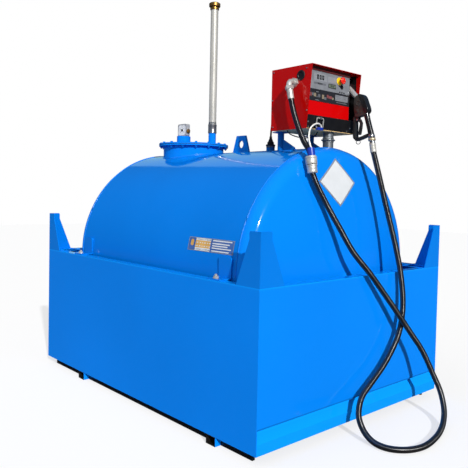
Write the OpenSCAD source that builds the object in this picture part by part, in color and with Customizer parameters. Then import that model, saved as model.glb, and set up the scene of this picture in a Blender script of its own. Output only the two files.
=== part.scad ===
// Diesel storage tank lying in a sheet-steel bund, with a metering cabinet,
// an automatic nozzle and its hose on the front end. Millimetres.
// X runs across, Y from the dispensing end to the rear and Z up from the ground.
// The origin is on the ground under the middle of the bund.

/* [Bund] */
// Length over the end walls
bund_l = 1740; // [1700:10:2400]
// Thickness of the bund's sheet
sheet_t = 3; // [2:0.5:6]
// Width of the rim folded inward round the top
rim_w = 42; // [34:1:60]
// Depth of the fold across each end wall
fold_depth = 25; // [10:1:40]
// Height of the flat lip under the fold
fold_lip = 43; // [20:1:80]
// Height of the fold's sloping face
fold_rise = 45; // [30:1:80]
// Height of the step where the fold comes back to the face
fold_step = 7; // [5:1:20]
// Height of a corner post above the rim
post_h = 206; // [120:2:300]
// Width of a post's wing at its top
post_top_w = 60; // [40:1:90]
// Width of a post's wing on the rim
post_base_w = 130; // [100:2:200]
// Height of the straight edge at a post's top
post_edge_h = 30; // [10:1:60]
// Thickness of a post's plate
post_t = 4; // [3:0.5:8]

/* [Feet] */
// Height of the feet and rails
foot_h = 38; // [30:1:80]
// Width of a cross foot
foot_w = 57; // [50:1:120]
// Wall of a cross foot
foot_t = 3; // [2:0.5:5]
// Front face to the front foot's centre line
front_foot_y = 260; // [200:5:320]
// Rear face to the rear foot's centre line
rear_foot_y = 403; // [320:5:500]
// Width of a side rail
rail_w = 14; // [10:1:60]
// Side wall to the rail's outer face
rail_inset = 30; // [10:1:60]

/* [Tank] */
// Outside diameter of the tank
tank_d = 1100; // [900:10:1400]
// Wall of the tank
tank_t = 3; // [2:0.5:6]
// Front wall's face to the front head
front_gap = 149; // [110:1:250]
// Rear wall's face to the rear head
rear_gap = 216; // [110:1:300]
// Tank's side to the side wall's face
side_gap = 70; // [62:1:140]
// Bund floor to the tank's underside
under_gap = 69; // [50:1:120]
// Knuckle radius of the heads
knuckle_r = 60; // [30:2:100]
// Radius of the heads' dished middle
dish_r = 2000; // [1400:50:4000]
// Width of a saddle under the tank
saddle_w = 600; // [400:10:700]
// Plate of the saddles
saddle_t = 6; // [4:1:12]
// Width of a saddle's foot plate
saddle_foot = 50; // [40:1:80]
// Width of a rim bracket
bracket_w = 76; // [50:1:120]
// Thickness of a rim bracket
bracket_t = 6; // [4:1:10]
// Height of a rim bracket's upright above the rim
bracket_h = 89; // [60:1:120]
// Rim bracket's end to the outer face of the side wall
bracket_edge = 5; // [3:1:15]
// Front head to the front brackets' centre line
front_bracket_y = 119; // [100:1:200]
// Rear head to the rear brackets' centre line
rear_bracket_y = 126; // [110:1:200]

/* [Manhole] */
// Outside diameter of the neck
neck_d = 342; // [300:2:420]
// Wall of the neck
neck_t = 5; // [3:0.5:8]
// Tank's top to the underside of the flange
neck_h = 44; // [30:1:80]
// Edge of the flange and cover outside the neck
cover_edge = 26; // [10:1:60]
// Thickness of the flange, and of the cover
cover_t = 8; // [5:1:15]
// Rear head to the manhole's centre
manhole_y = 315; // [290:5:400]

/* [Level gauge] */
// Offset of the gauge from the manhole's centre, across
gauge_x = -30; // [-60:1:60]
// Offset of the gauge from the manhole's centre, to the rear
gauge_y = 57; // [40:1:90]
// Diameter of the gauge's stem
gauge_stem_d = 78; // [60:1:90]
// Height of the gauge's stem
gauge_stem_h = 48; // [30:1:70]
// Width of the gauge's square case
gauge_w = 78; // [60:1:90]
// Height of the gauge's case
gauge_h = 70; // [60:1:90]
// Depth of the gauge's case
gauge_d = 28; // [20:1:50]
// Diameter of the gauge's brass plug
gauge_plug_d = 28; // [15:1:40]

/* [Vent] */
// Offset of the vent from the manhole's centre, across
vent_x = 60; // [40:1:90]
// Offset of the vent from the manhole's centre, to the front
vent_y = 92; // [70:1:110]
// Outside diameter of the vent pipe and its stub
vent_d = 42.4; // [33.7:0.1:48.3]
// Wall of the vent pipe
vent_t = 3.2; // [2:0.1:4]
// Height of the stub above the cover
stub_h = 64; // [40:1:100]
// Diameter of the threaded coupling
coupling_d = 49; // [46:0.5:60]
// Height of the threaded coupling
coupling_h = 51; // [40:1:70]
// Length of pipe above the coupling
vent_h = 643; // [300:1:900]
// Diameter of the vent's cap
vent_cap_d = 64; // [52:1:90]
// Height of the vent's cap
vent_cap_h = 44; // [30:1:60]

/* [Lifting lug] */
// Manhole's centre to the lug's eye
lug_y = 409; // [340:1:480]
// Length of the lug on the tank
lug_base = 123; // [90:1:160]
// Length of the lug at its top
lug_top = 66; // [54:1:100]
// Height of the lug
lug_h = 88; // [75:1:120]
// Thickness of the lug
lug_t = 12; // [8:1:20]
// Diameter of the lug's eye
eye_d = 40; // [30:1:46]
// Tank's top to the eye's centre
eye_z = 43; // [35:1:50]

/* [Level probe] */
// Cabinet's back to the probe's centre
probe_y = 172; // [120:1:200]
// Diameter of the probe's socket
probe_d = 42; // [35:1:50]
// Height of the probe's socket
probe_h = 25; // [18:1:40]
// Diameter of the plug's flange
plug_d = 47; // [44:1:56]
// Height of the plug's flange
plug_h = 8; // [5:1:14]
// Diameter of the strain relief
relief_d = 15; // [12:1:20]
// Height of the strain relief above the flange
relief_h = 40; // [30:1:60]
// Diameter of the probe's cable
cable_d = 9; // [6:0.5:11]

/* [Cabinet] */
// Width of the cabinet
cab_w = 344; // [320:2:420]
// Height of the cabinet
cab_h = 274; // [250:2:320]
// Depth of the cabinet at its foot
cab_d = 214; // [190:1:260]
// Angle by which the front leans outward
lean = 5.7; // [0:0.1:10]
// Sheet of the cabinet
cab_t = 2; // [1:0.5:3]
// Front head to the cabinet's front at its foot
cab_y = 49; // [40:1:70]
// Tank's top to the cabinet's underside
cab_z = 74; // [60:1:120]
// Depth of the upright front panel behind the hood's edge, at the panel's foot
recess = 3; // [2.5:0.5:10]
// Height of the black lower panel
lower_h = 60; // [56:1:70]
// Cabinet's middle to the nozzle bay
bay_x = 117; // [112:1:120]
// Depth of the nozzle bay
bay_d = 108; // [90:1:130]
// Thickness of the instrument panel
fascia_t = 1.5; // [1:0.5:3]
// Lower edge of the instrument panel above the cabinet's foot
fascia_z = 122; // [100:1:140]
// Height of the instrument panel
fascia_h = 131; // [110:1:134]
// Diameter of a leg under the cabinet
leg_d = 30; // [25:0.5:34]
// Wall of a leg
leg_t = 3; // [2:0.5:5]
// Distance between the legs
leg_gap = 210; // [160:2:260]
// Outside diameter of the suction pipe
suction_d = 48.3; // [42.4:0.1:60.3]
// Wall of the suction pipe
suction_t = 3.2; // [2:0.1:5]
// Front head to the suction pipe
suction_y = 86; // [85:1:110]
// Offset of the suction pipe across
suction_x = 22; // [-20:1:40]
// Diameter of the union on the suction pipe
union_d = 64; // [62:1:76]
// Height of the union on the suction pipe
union_h = 22; // [15:1:40]

/* [Stop button] */
// Offset of the button from the cabinet's middle
stop_x = 39; // [20:1:60]
// Height of the button above the cabinet's foot
stop_z = 228; // [215:1:234]
// Diameter of the yellow collar
collar_d = 36; // [34:1:40]
// Thickness of the yellow collar
collar_t = 2; // [1:0.5:4]
// Diameter of the button's neck
neck_out_d = 22; // [18:1:26]
// Height of the button's neck
neck_out_h = 7; // [6:1:14]
// Diameter of the button's stem
stem_d = 14; // [8:1:14]
// Diameter of the button's head
button_d = 32; // [28:1:40]
// Thickness of the button's head
button_t = 10; // [8:1:14]
// Gap between neck and head, with the button out
button_gap = 9; // [9:1:12]

/* [Nozzle] */
// Cabinet's middle to the nozzle
nozzle_x = 135; // [134:1:142]
// Width of the nozzle's body
nozzle_w = 32; // [28:1:36]
// Diameter of the grip
grip_d = 26; // [24:1:30]
// Diameter of the spout
spout_d = 24; // [19:0.5:26]
// Width of the trigger guard
guard_w = 14; // [10:1:20]
// Width of the trigger
trigger_w = 10; // [8:1:12]
// Diameter of the trigger's pin
pin_d = 5; // [4:0.5:6]
// Diameter of the swivel
swivel_d = 31; // [29:1:36]
// Length of the swivel
swivel_h = 42; // [30:1:60]

/* [Hoses] */
// Outside diameter of the hose
hose_d = 25; // [22:1:28]
// Diameter of the ferrules on the hose's ends
ferrule_d = 28; // [28:0.5:34]
// Diameter of the breakaway coupling's upper half
breakaway_d = 38; // [36:1:44]
// Diameter of the breakaway coupling's lower half
breakaway_low_d = 45; // [42:1:52]
// Diameter of the coated rope
rope_d = 7; // [5:0.5:9]
// Width of the ring that holds the rope
ring_w = 48; // [40:1:60]
// Height of the ring
ring_h = 48; // [40:1:55]
// Thickness of the ring's wire
ring_t = 4; // [3:0.5:5]
// Diameter of the thin lead under the cabinet
lead_d = 5; // [3:0.5:8]

/* [Fits] */
// Gap at each pin, stem and loose seat
fit = 0.3; // [0.2:0.05:0.5]
// Smoothness of round shapes
round_n = 96; // [48:8:128]

/* [Hidden] */
$fn = round_n;
over = 20; // how far a cutter runs past what it cuts

tank_r = tank_d / 2;
bund_w = tank_d + 2 * side_gap;
tank_z = foot_h + sheet_t + under_gap + tank_r;
rim_z = tank_z - bracket_t;
tank_top = tank_z + tank_r;
front_y = -bund_l / 2;
rear_y = bund_l / 2;
head_front = front_y + front_gap;
head_rear = rear_y - rear_gap;
shell_front = head_front + knuckle_r;
shell_rear = head_rear - knuckle_r;
cover_top = tank_top + neck_h + 2 * cover_t;
cover_d = neck_d + 2 * cover_edge;
hole_y = head_rear - manhole_y;
cab_front = head_front + cab_y;
cab_rear = cab_front + cab_d;
cab_foot = tank_top + cab_z;
cab_top = cab_foot + cab_h;
panel_y = cab_front - lower_h * tan(lean) + recess; // front face of the front panel
fascia_y = panel_y - fascia_t;
bay_back = cab_front + bay_d - cab_t;
bay_floor = cab_foot + lower_h;
probe_at = cab_rear + probe_y;
probe_top = tank_top + probe_h + plug_h + relief_h;

// Grip, trigger and hose end of the nozzle, as [y, z] from the bay's sill
sill = [cab_front, bay_floor];
pivot = sill + [-44, 0];
grip_top = sill + [-92, 20];
grip_end = sill + [-119, -71];
grip_turn = atan2(grip_top[0] - grip_end[0], grip_top[1] - grip_end[1]);
hose_turn = 10.4;
swivel_l = 81;
ball_d = 22;
spout_from = sill + [-40, 98];
spout_turn = 45; // rise of the spout's straight stretch
spout_l = 78;
spout_bend_r = 90;
spout_bend = 30;
rest_y = 6; // sill to the strip that holds the spout
rest_z = 114; // bay's floor to the strip
rest_h = 57;

// Where the hoses and cables begin and end
elbow_at = [-cab_w / 2 - 43, cab_front + 70, cab_foot + 203];
elbow_turn = 12.8;
elbow_drop = 81;
elbow_dir = [0, -sin(elbow_turn), -cos(elbow_turn)];
elbow_end = elbow_at + elbow_drop * elbow_dir;
nozzle_end = [nozzle_x, grip_end[0], grip_end[1]]
    + swivel_l * [0, -sin(hose_turn), -cos(hose_turn)];
breakaway_top = [-222, head_front - 26, tank_top - 52];
breakaway_turn = 9.7;
breakaway_l = 73;
breakaway_dir = [0, -sin(breakaway_turn), -cos(breakaway_turn)];
breakaway_end = breakaway_top + breakaway_l * breakaway_dir;
boot_l = 33;
boot_at = [-2, -6];
rope_from = breakaway_top + [boot_at[0] - 1, 0, 0] - boot_l * breakaway_dir
    + (boot_at[1] - 3) * [0, cos(breakaway_turn), -sin(breakaway_turn)];

// The ring hangs in front of the lower panel: middle, gap behind and foot
ring_x = -96;
ring_gap = 7;
ring_z = 4;
clamp_w = 34;
clamp_top = 10;
rope_in = [9, -12]; // where the rope enters the clamp, from the ring's middle
rope_to = [ring_x + rope_in[0], cab_front, cab_foot]
    + rope_in[1] * [0, cos(lean), sin(lean)] + clamp_top * [0, -sin(lean), cos(lean)];
gland_l = 12;
gland_z = 124;

// Routes, from end to end
INLET_ROUTE = [
    elbow_end, [-215, -640, 1345], [-214, -668, 1280], [-214, -700, 1222],
    [-217, -730, 1188], breakaway_top,
];
DELIVERY_ROUTE = [
    breakaway_end, [-205, -770, 1040], [-165, -790, 960], [-120, -828, 860],
    [-75, -868, 760], [0, -900, 670], [75, -914, 590], [165, -932, 490],
    [245, -955, 390], [310, -980, 300], [350, -1010, 200], [360, -1045, 125],
    [335, -1080, 60], [275, -1112, 25], [190, -1145, 15], [100, -1170, 14],
    [10, -1182, 14], [-60, -1168, 14], [-110, -1130, 14], [-132, -1080, 15],
    [-130, -1025, 22], [-120, -975, 50], [-110, -945, 100], [-65, -926, 155],
    [10, -919, 200], [95, -917, 255], [165, -916, 320], [215, -916, 390],
    [238, -915, 470], [244, -910, 550], [240, -898, 650], [232, -880, 745],
    [217, -858, 850], [194, -835, 970], [169, -820, 1075], nozzle_end,
];
ROPE_ROUTE = [
    rope_from, [-227, -740, 1223], [-212, -726, 1257], [-186, -713, 1283],
    [-150, -702, 1300], [-116, -692, 1307], [-94, -686, 1303], rope_to,
];
PROBE_ROUTE = [
    [0, probe_at, probe_top], [0, -289, 1320], [0, -298, 1360], [0, -328, 1395],
    [0, -380, 1408], [0, cab_rear + gland_l, cab_foot + gland_z],
];
LEAD_ROUTE = [
    [-150, -540, cab_foot], [-140, -548, 1268], [-110, -568, 1256],
    [-70, -590, 1254], [-35, -606, 1266], [-25, -610, cab_foot],
];

// Places a profile drawn in Y and Z, w wide, with its middle at x
module along_x(w, x = 0) {
    translate([x, 0, 0])
        rotate([90, 0, 90])
            linear_extrude(w, center = true)
                children();
}

// Places a profile drawn in X and Z, from y for the length l
module along_y(l, y) {
    translate([0, y + l, 0])
        rotate([90, 0, 0])
            linear_extrude(l)
                children();
}

module tube(d, wall, h) {
    difference() {
        cylinder(d = d, h = h);
        translate([0, 0, -over])
            cylinder(d = d - 2 * wall, h = h + 2 * over);
    }
}

// The round of the tank's outside, run past both ends
module tank_space() {
    translate([0, rear_y, tank_z])
        rotate([90, 0, 0])
            cylinder(r = tank_r, h = bund_l, $fn = 4 * round_n);
}

// The frame of the leaning front: x across, y into the cabinet, z up the panel
module on_front() {
    translate([0, cab_front, cab_foot])
        rotate([lean, 0, 0])
            children();
}

// Height above the cabinet's foot turned into a distance up the leaning front
function up(z) = z / cos(lean);

// Y of the leaning front at height z above the cabinet's foot
function front_at(z) = cab_front - z * tan(lean);

// A smooth curve through the route's points
function at(route, i) = route[max(0, min(len(route) - 1, i))];
function between(a, b, c, d, t) =
    0.5 * (2 * b + (c - a) * t + (2 * a - 5 * b + 4 * c - d) * t * t
        + (3 * b - a - 3 * c + d) * t * t * t);
function curve(route, steps) = [
    for (i = [0:len(route) - 2], s = [0:steps - 1])
        between(at(route, i - 1), at(route, i), at(route, i + 1), at(route, i + 2), s / steps),
    route[len(route) - 1],
];

// Rings of the tube: each carries its side vector on to the next without twist
function unit(v) = v / norm(v);
function tangent(line, i) = unit(at(line, i + 1) - at(line, i - 1));
function side_first(t) = unit(cross(t, abs(t[0]) < 0.8 ? [1, 0, 0] : [0, 1, 0]));
function side_next(side, t) = unit(side - (side * t) * t);
function sides_of(ts) = [
    for (i = 0, s = side_first(ts[0]); i < len(ts);
        i = i + 1, s = i < len(ts) ? side_next(s, ts[i]) : s) s,
];
module swept(route, d, steps, n, start_dir, end_dir) {
    line = curve(route, steps);
    last = len(line) - 1;
    ts = [for (i = [0:last]) i == 0 ? start_dir : i == last ? end_dir : tangent(line, i)];
    sides = sides_of(ts);
    points = [
        for (i = [0:last], k = [0:n - 1])
            line[i] + d / 2 * (cos(360 * k / n) * sides[i]
                + sin(360 * k / n) * cross(ts[i], sides[i])),
    ];
    faces = concat(
        [[for (k = [0:n - 1]) k]],
        [for (i = [0:last - 1], k = [0:n - 1])
            [i * n + k, (i + 1) * n + k, (i + 1) * n + (k + 1) % n]],
        [for (i = [0:last - 1], k = [0:n - 1])
            [i * n + k, (i + 1) * n + (k + 1) % n, i * n + (k + 1) % n]],
        [[for (k = [0:n - 1]) last * n + n - 1 - k]]
    );
    polyhedron(points, faces);
}

// ---- Bund ----

module bund_floor() {
    color("dodgerblue")
        translate([-bund_w / 2 + sheet_t, front_y + sheet_t, foot_h])
            cube([bund_w - 2 * sheet_t, bund_l - 2 * sheet_t, sheet_t]);
}

// A side wall with its rim, for the side where X is positive
module side_wall() {
    color("royalblue")
        along_y(bund_l, front_y) {
            translate([bund_w / 2 - sheet_t, foot_h])
                square([sheet_t, rim_z - foot_h]);
            translate([bund_w / 2 - rim_w, rim_z - sheet_t])
                square([rim_w, sheet_t]);
        }
}

module left_wall() {
    mirror([1, 0, 0]) side_wall();
}

module right_wall() {
    side_wall();
}

// The end wall at the front, with the fold across it near its foot
module end_wall() {
    fold_top = fold_lip + fold_rise;
    step_top = fold_top + fold_step;
    wall_h = rim_z - foot_h - sheet_t;
    t = sheet_t;
    color("dodgerblue") {
        translate([0, front_y, foot_h])
            along_x(bund_w - 2 * sheet_t)
                polygon([
                    [0, 0], [0, fold_lip], [fold_depth, fold_top], [0, step_top],
                    [0, wall_h], [t, wall_h], [t, step_top + t / 2],
                    [fold_depth + t, fold_top], [t, fold_lip - t / 2], [t, 0],
                ]);
        translate([-bund_w / 2 + rim_w, front_y, rim_z - sheet_t])
            cube([bund_w - 2 * rim_w, rim_w, sheet_t]);
    }
}

module front_wall() {
    end_wall();
}

module rear_wall() {
    mirror([0, 1, 0]) end_wall();
}

// One wing of a post, upright on the rim
module post_wing() {
    corner_r = 8;
    difference() {
        linear_extrude(post_t)
            polygon([
                [0, 0], [post_base_w, 0], [post_top_w, post_h - post_edge_h],
                [post_top_w, post_h], [0, post_h],
            ]);
        translate([post_top_w - corner_r, post_h - corner_r, -over])
            difference() {
                cube([corner_r + over, corner_r + over, post_t + 2 * over]);
                cylinder(r = corner_r, h = post_t + 2 * over);
            }
    }
}

// A post for the corner where X and Y are negative
module corner_post() {
    color("royalblue")
        translate([-bund_w / 2, front_y, rim_z]) {
            translate([0, post_t, 0])
                rotate([90, 0, 0])
                    post_wing();
            rotate([90, 0, 90])
                post_wing();
        }
}

module front_left_post() {
    corner_post();
}

module front_right_post() {
    mirror([1, 0, 0]) corner_post();
}

module rear_left_post() {
    mirror([0, 1, 0]) corner_post();
}

module rear_right_post() {
    mirror([1, 0, 0]) mirror([0, 1, 0]) corner_post();
}

// ---- Feet ----

front_foot_at = front_y + front_foot_y;
rear_foot_at = rear_y - rear_foot_y;

// A rail in three lengths, with a cross foot between each two
module side_rail() {
    rail_end = 50; // end wall to the rail's end
    half = foot_w / 2;
    stretches = [
        [front_y + rail_end, front_foot_at - half],
        [front_foot_at + half, rear_foot_at - half],
        [rear_foot_at + half, rear_y - rail_end],
    ];
    color("#202022")
        for (s = stretches)
            translate([bund_w / 2 - rail_inset - rail_w, s[0], 0])
                cube([rail_w, s[1] - s[0], foot_h]);
}

module left_rail() {
    mirror([1, 0, 0]) side_rail();
}

module right_rail() {
    side_rail();
}

module cross_foot(y) {
    color("royalblue")
        difference() {
            translate([-bund_w / 2, y - foot_w / 2, 0])
                cube([bund_w, foot_w, foot_h]);
            translate([-bund_w / 2 - over, y - foot_w / 2 + foot_t, foot_t])
                cube([bund_w + 2 * over, foot_w - 2 * foot_t, foot_h - 2 * foot_t]);
        }
}

module front_foot() {
    cross_foot(front_foot_at);
}

module rear_foot() {
    cross_foot(rear_foot_at);
}

// ---- Tank ----

module tank_shell() {
    color("dodgerblue")
        difference() {
            translate([0, shell_rear, tank_z])
                rotate([90, 0, 0])
                    tube(tank_d, tank_t, shell_rear - shell_front);
            translate([0, hole_y, tank_z])
                cylinder(d = neck_d - 2 * neck_t, h = tank_r + over);
        }
}

// Half outline of a head, inset from its outer face: dished middle and tangent knuckle
module head_outline(inset) {
    reach = tank_r - knuckle_r;
    dish_low = sqrt(pow(dish_r - knuckle_r, 2) - reach * reach);
    intersection() {
        translate([0, -dish_low])
            circle(dish_r - inset, $fn = 8 * round_n);
        square([(dish_r - inset) * reach / (dish_r - knuckle_r), knuckle_r + reach]);
    }
    translate([reach, 0])
        intersection() {
            circle(knuckle_r - inset);
            square(knuckle_r);
        }
}

module head() {
    rotate_extrude()
        difference() {
            head_outline(0);
            head_outline(tank_t);
        }
}

module front_head() {
    color("dodgerblue")
        translate([0, shell_front, tank_z])
            rotate([90, 0, 0])
                head();
}

module rear_head() {
    color("dodgerblue")
        translate([0, shell_rear, tank_z])
            rotate([-90, 0, 0])
                head();
}

// A saddle web with its foot plate, cut to the tank's round
module saddle(y) {
    floor_z = foot_h + sheet_t;
    color("royalblue")
        difference() {
            union() {
                translate([-saddle_w / 2, y - saddle_t / 2, floor_z])
                    cube([saddle_w, saddle_t, tank_r / 2]);
                translate([-saddle_w / 2, y - saddle_foot / 2, floor_z])
                    cube([saddle_w, saddle_foot, saddle_t]);
            }
            tank_space();
        }
}

module front_saddle() {
    saddle(front_foot_at);
}

module rear_saddle() {
    saddle(rear_foot_at);
}

// Two brackets that carry the tank on the rim where X is positive
module rim_brackets() {
    corner_r = 12;
    reach = bund_w / 2 - bracket_edge;
    color("royalblue")
        for (y = [head_front + front_bracket_y, head_rear - rear_bracket_y])
            difference() {
                translate([0, y - bracket_w / 2, rim_z]) {
                    translate([tank_r, 0, 0])
                        cube([reach - tank_r, bracket_w, bracket_t]);
                    translate([tank_r - 2 * bracket_t, 0, 0])
                        cube([3 * bracket_t, bracket_w, bracket_h]);
                }
                tank_space();
                for (side = [-1, 1])
                    translate([0, y + side * (bracket_w / 2 - corner_r), rim_z + bracket_h - corner_r])
                        rotate([0, 90, 0])
                            difference() {
                                translate([-over, side < 0 ? -over : 0, 0])
                                    cube([over, over, bund_w]);
                                cylinder(r = corner_r, h = bund_w);
                            }
            }
}

module left_brackets() {
    mirror([1, 0, 0]) rim_brackets();
}

module right_brackets() {
    rim_brackets();
}

// ---- Manhole, gauge and vent ----

module manhole_neck() {
    color("dodgerblue")
        difference() {
            translate([0, hole_y, tank_z]) {
                cylinder(d = neck_d, h = tank_r + neck_h);
                translate([0, 0, tank_r + neck_h])
                    cylinder(d = cover_d, h = cover_t);
            }
            translate([0, hole_y, 0])
                cylinder(d = neck_d - 2 * neck_t, h = cover_top + over);
            tank_space();
        }
}

module manhole_cover() {
    color("dodgerblue")
        translate([0, hole_y, cover_top - cover_t])
            cylinder(d = cover_d, h = cover_t);
}

module gauge_stem() {
    color("dodgerblue")
        translate([gauge_x, hole_y + gauge_y, cover_top])
            cylinder(d = gauge_stem_d, h = gauge_stem_h);
}

module level_gauge() {
    color("silver")
        translate([gauge_x - gauge_d / 2, hole_y + gauge_y - gauge_w / 2, cover_top + gauge_stem_h])
            cube([gauge_d, gauge_w, gauge_h]);
}

module gauge_plug() {
    plug_l = 10;
    color("goldenrod")
        translate([
            gauge_x, hole_y + gauge_y - gauge_w / 2, cover_top + gauge_stem_h + gauge_h * 0.4
        ])
            rotate([90, 0, 0])
                cylinder(d = gauge_plug_d - 2, h = plug_l);
}

module on_vent(z) {
    translate([vent_x, hole_y - vent_y, cover_top + z])
        children();
}

module vent_stub() {
    color("dodgerblue")
        on_vent(0)
            tube(vent_d, vent_t, stub_h);
}

module vent_coupling() {
    color("silver")
        on_vent(stub_h)
            tube(coupling_d, (coupling_d - vent_d) / 2 + vent_t, coupling_h);
}

module vent_pipe() {
    color("lightgray")
        on_vent(stub_h + coupling_h)
            tube(vent_d, vent_t, vent_h);
}

module vent_cap() {
    brim = 26;
    crown_d = 50;
    color("darkgoldenrod")
        on_vent(stub_h + coupling_h + vent_h) {
            cylinder(d = crown_d, h = vent_cap_h - brim);
            translate([0, 0, vent_cap_h - brim])
                cylinder(d = vent_cap_d, h = brim - 8);
            translate([0, 0, vent_cap_h - 8])
                cylinder(d1 = vent_cap_d, d2 = crown_d / 2, h = 8);
        }
}

// ---- Lug and probe ----

module lifting_lug() {
    color("royalblue")
        translate([0, hole_y - lug_y, tank_top])
            difference() {
                along_x(lug_t)
                    polygon([
                        [-lug_base / 2, 0], [lug_base / 2, 0],
                        [lug_top / 2, lug_h], [-lug_top / 2, lug_h],
                    ]);
                translate([-lug_t / 2 - over, 0, eye_z])
                    rotate([0, 90, 0])
                        cylinder(d = eye_d, h = lug_t + 2 * over);
            }
}

module probe_socket() {
    color("navy")
        difference() {
            translate([0, probe_at, tank_top - over])
                cylinder(d = probe_d, h = probe_h + over);
            tank_space();
        }
}

module probe_plug() {
    color("#18181a")
        translate([0, probe_at, tank_top + probe_h]) {
            cylinder(d = plug_d, h = plug_h);
            translate([0, 0, plug_h])
                cylinder(d = relief_d, h = relief_h);
        }
}

module probe_cable() {
    color("#101012")
        swept(PROBE_ROUTE, cable_d, 3, 8, [0, 0, 1], [0, -1, 0]);
}

// ---- Cabinet ----

// The legs, each with a plate on its top and a gusset on the tank in front of it
module cabinet_legs() {
    plate_w = 56;
    plate_t = 4;
    gusset_h = 42;
    gusset_l = 75;
    gusset_t = 4;
    leg_y = cab_rear;
    color("navy")
        for (side = [-1, 1])
            difference() {
                union() {
                    translate([side * leg_gap / 2, leg_y, tank_z])
                        tube(leg_d, leg_t, cab_foot - plate_t - tank_z);
                    translate([
                        side * leg_gap / 2 - plate_w / 2, leg_y - plate_w / 2, cab_foot - plate_t
                    ])
                        cube([plate_w, plate_w, plate_t]);
                    along_x(gusset_t, side * leg_gap / 2)
                        polygon([
                            [leg_y - leg_d / 2 + leg_t / 2, tank_z],
                            [leg_y - leg_d / 2 + leg_t / 2, tank_top + gusset_h],
                            [leg_y - leg_d / 2 - gusset_l, tank_top],
                            [leg_y - leg_d / 2 - gusset_l, tank_z],
                        ]);
                }
                tank_space();
            }
}

suction_at = head_front + suction_y;

module suction_pipe() {
    color("darkgray")
        difference() {
            translate([suction_x, suction_at, tank_z])
                tube(suction_d, suction_t, cab_foot - tank_z);
            tank_space();
        }
}

module suction_union() {
    union_z = 38;
    color("gray")
        translate([suction_x, suction_at, tank_top + union_z - union_h / 2])
            difference() {
                cylinder(d = union_d, h = union_h, $fn = 8);
                translate([0, 0, -over])
                    cylinder(d = suction_d + fit, h = union_h + 2 * over);
            }
}

// Side outline of the cabinet, from its foot
module cabinet_outline() {
    polygon([
        [cab_rear, cab_foot], [cab_rear, cab_top],
        [front_at(cab_h), cab_top], [cab_front, cab_foot],
    ]);
}

// The space between the hood's sides, under its top
module hood_space() {
    translate([-cab_w / 2 + cab_t, cab_front - cab_d, cab_foot])
        cube([cab_w - 2 * cab_t, 2 * cab_d + over, cab_h - cab_t]);
}

module cabinet_hood() {
    color("firebrick")
        difference() {
            along_x(cab_w)
                cabinet_outline();
            translate([0, 0, -over])
                hood_space();
            hood_space();
        }
}

module cabinet_back() {
    gland_d = 20;
    color("firebrick") {
        translate([-cab_w / 2 + cab_t, cab_rear - cab_t, cab_foot + cab_t])
            cube([cab_w - 2 * cab_t, cab_t, cab_h - 2 * cab_t]);
        translate([0, cab_rear - cab_t, cab_foot + gland_z])
            rotate([-90, 0, 0])
                cylinder(d = gland_d, h = gland_l + cab_t);
    }
}

module cabinet_base() {
    color("tan")
        intersection() {
            along_x(cab_w - 2 * cab_t)
                cabinet_outline();
            translate([-cab_w / 2, cab_front - cab_d, cab_foot])
                cube([cab_w, 2 * cab_d, cab_t]);
        }
}

module front_panel() {
    color("red")
        intersection() {
            translate([-cab_w / 2 + cab_t, panel_y, bay_floor])
                cube([cab_w / 2 - 2 * cab_t + bay_x, cab_t, cab_h]);
            hood_space();
        }
}

module instrument_panel() {
    edge = 2;
    color("gray")
        translate([-cab_w / 2 + cab_t + edge, fascia_y, cab_foot + fascia_z])
            cube([cab_w / 2 - cab_t + bay_x - 2 * edge, fascia_t, fascia_h]);
}

// The black panel at the leaning foot, with a ledge that carries the front panel
module lower_panel() {
    color("#141416")
        along_x(cab_w - 2 * cab_t)
            polygon([
                [front_at(cab_t), cab_foot + cab_t], [front_at(cab_t) + cab_t, cab_foot + cab_t],
                [front_at(lower_h) + cab_t, bay_floor - cab_t],
                [panel_y + cab_t, bay_floor - cab_t], [panel_y + cab_t, bay_floor],
                [front_at(lower_h), bay_floor],
            ]);
}

// Left side, back and floor of the bay, and the strip that holds the spout
module nozzle_bay() {
    bay_w = cab_w / 2 - cab_t - bay_x;
    color("#1c1c1e") {
        difference() {
            translate([bay_x - cab_t, panel_y, bay_floor])
                cube([bay_w + cab_t, bay_back + cab_t - panel_y, cab_h - lower_h - cab_t]);
            translate([bay_x, bay_back - cab_d, bay_floor + cab_t])
                cube([bay_w + over, cab_d, cab_h]);
        }
        difference() {
            translate([bay_x - cab_t / 2, sill[0] + rest_y, bay_floor + rest_z])
                cube([bay_w + cab_t / 2, cab_t, rest_h]);
            spout_line(spout_d / 2 + fit, spout_l + spout_d);
        }
    }
}

// ---- Stop button ----

module on_button() {
    translate([stop_x, fascia_y, cab_foot + stop_z])
        rotate([90, 0, 0])
            children();
}

module stop_collar() {
    color("gold")
        on_button()
            difference() {
                union() {
                    cylinder(d = collar_d, h = collar_t);
                    cylinder(d = neck_out_d, h = collar_t + neck_out_h);
                }
                translate([0, 0, collar_t / 2])
                    cylinder(d = stem_d + 2 * fit, h = neck_out_h + over);
            }
}

module stop_button() {
    stem_clear = 6;
    head_z = collar_t + neck_out_h + button_gap;
    color("red")
        on_button() {
            translate([0, 0, collar_t / 2 + stem_clear])
                cylinder(d = stem_d, h = head_z - collar_t / 2 - stem_clear);
            translate([0, 0, head_z])
                cylinder(d = button_d, h = button_t);
        }
}

// ---- Nozzle ----

module in_nozzle(w) {
    along_x(w, nozzle_x)
        children();
}

// The straight stretch of the spout's line, from its start
module on_spout() {
    translate([nozzle_x, spout_from[0], spout_from[1]])
        rotate([spout_turn - 90, 0, 0])
            children();
}

module spout_line(r, l = spout_l) {
    on_spout()
        cylinder(r = r, h = l);
}

module spout() {
    color("silver") {
        spout_line(spout_d / 2);
        on_spout()
            translate([0, spout_bend_r, spout_l])
                rotate([90, 0, -90])
                    rotate_extrude(angle = spout_bend)
                        translate([spout_bend_r, 0])
                            circle(d = spout_d);
    }
}

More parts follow.
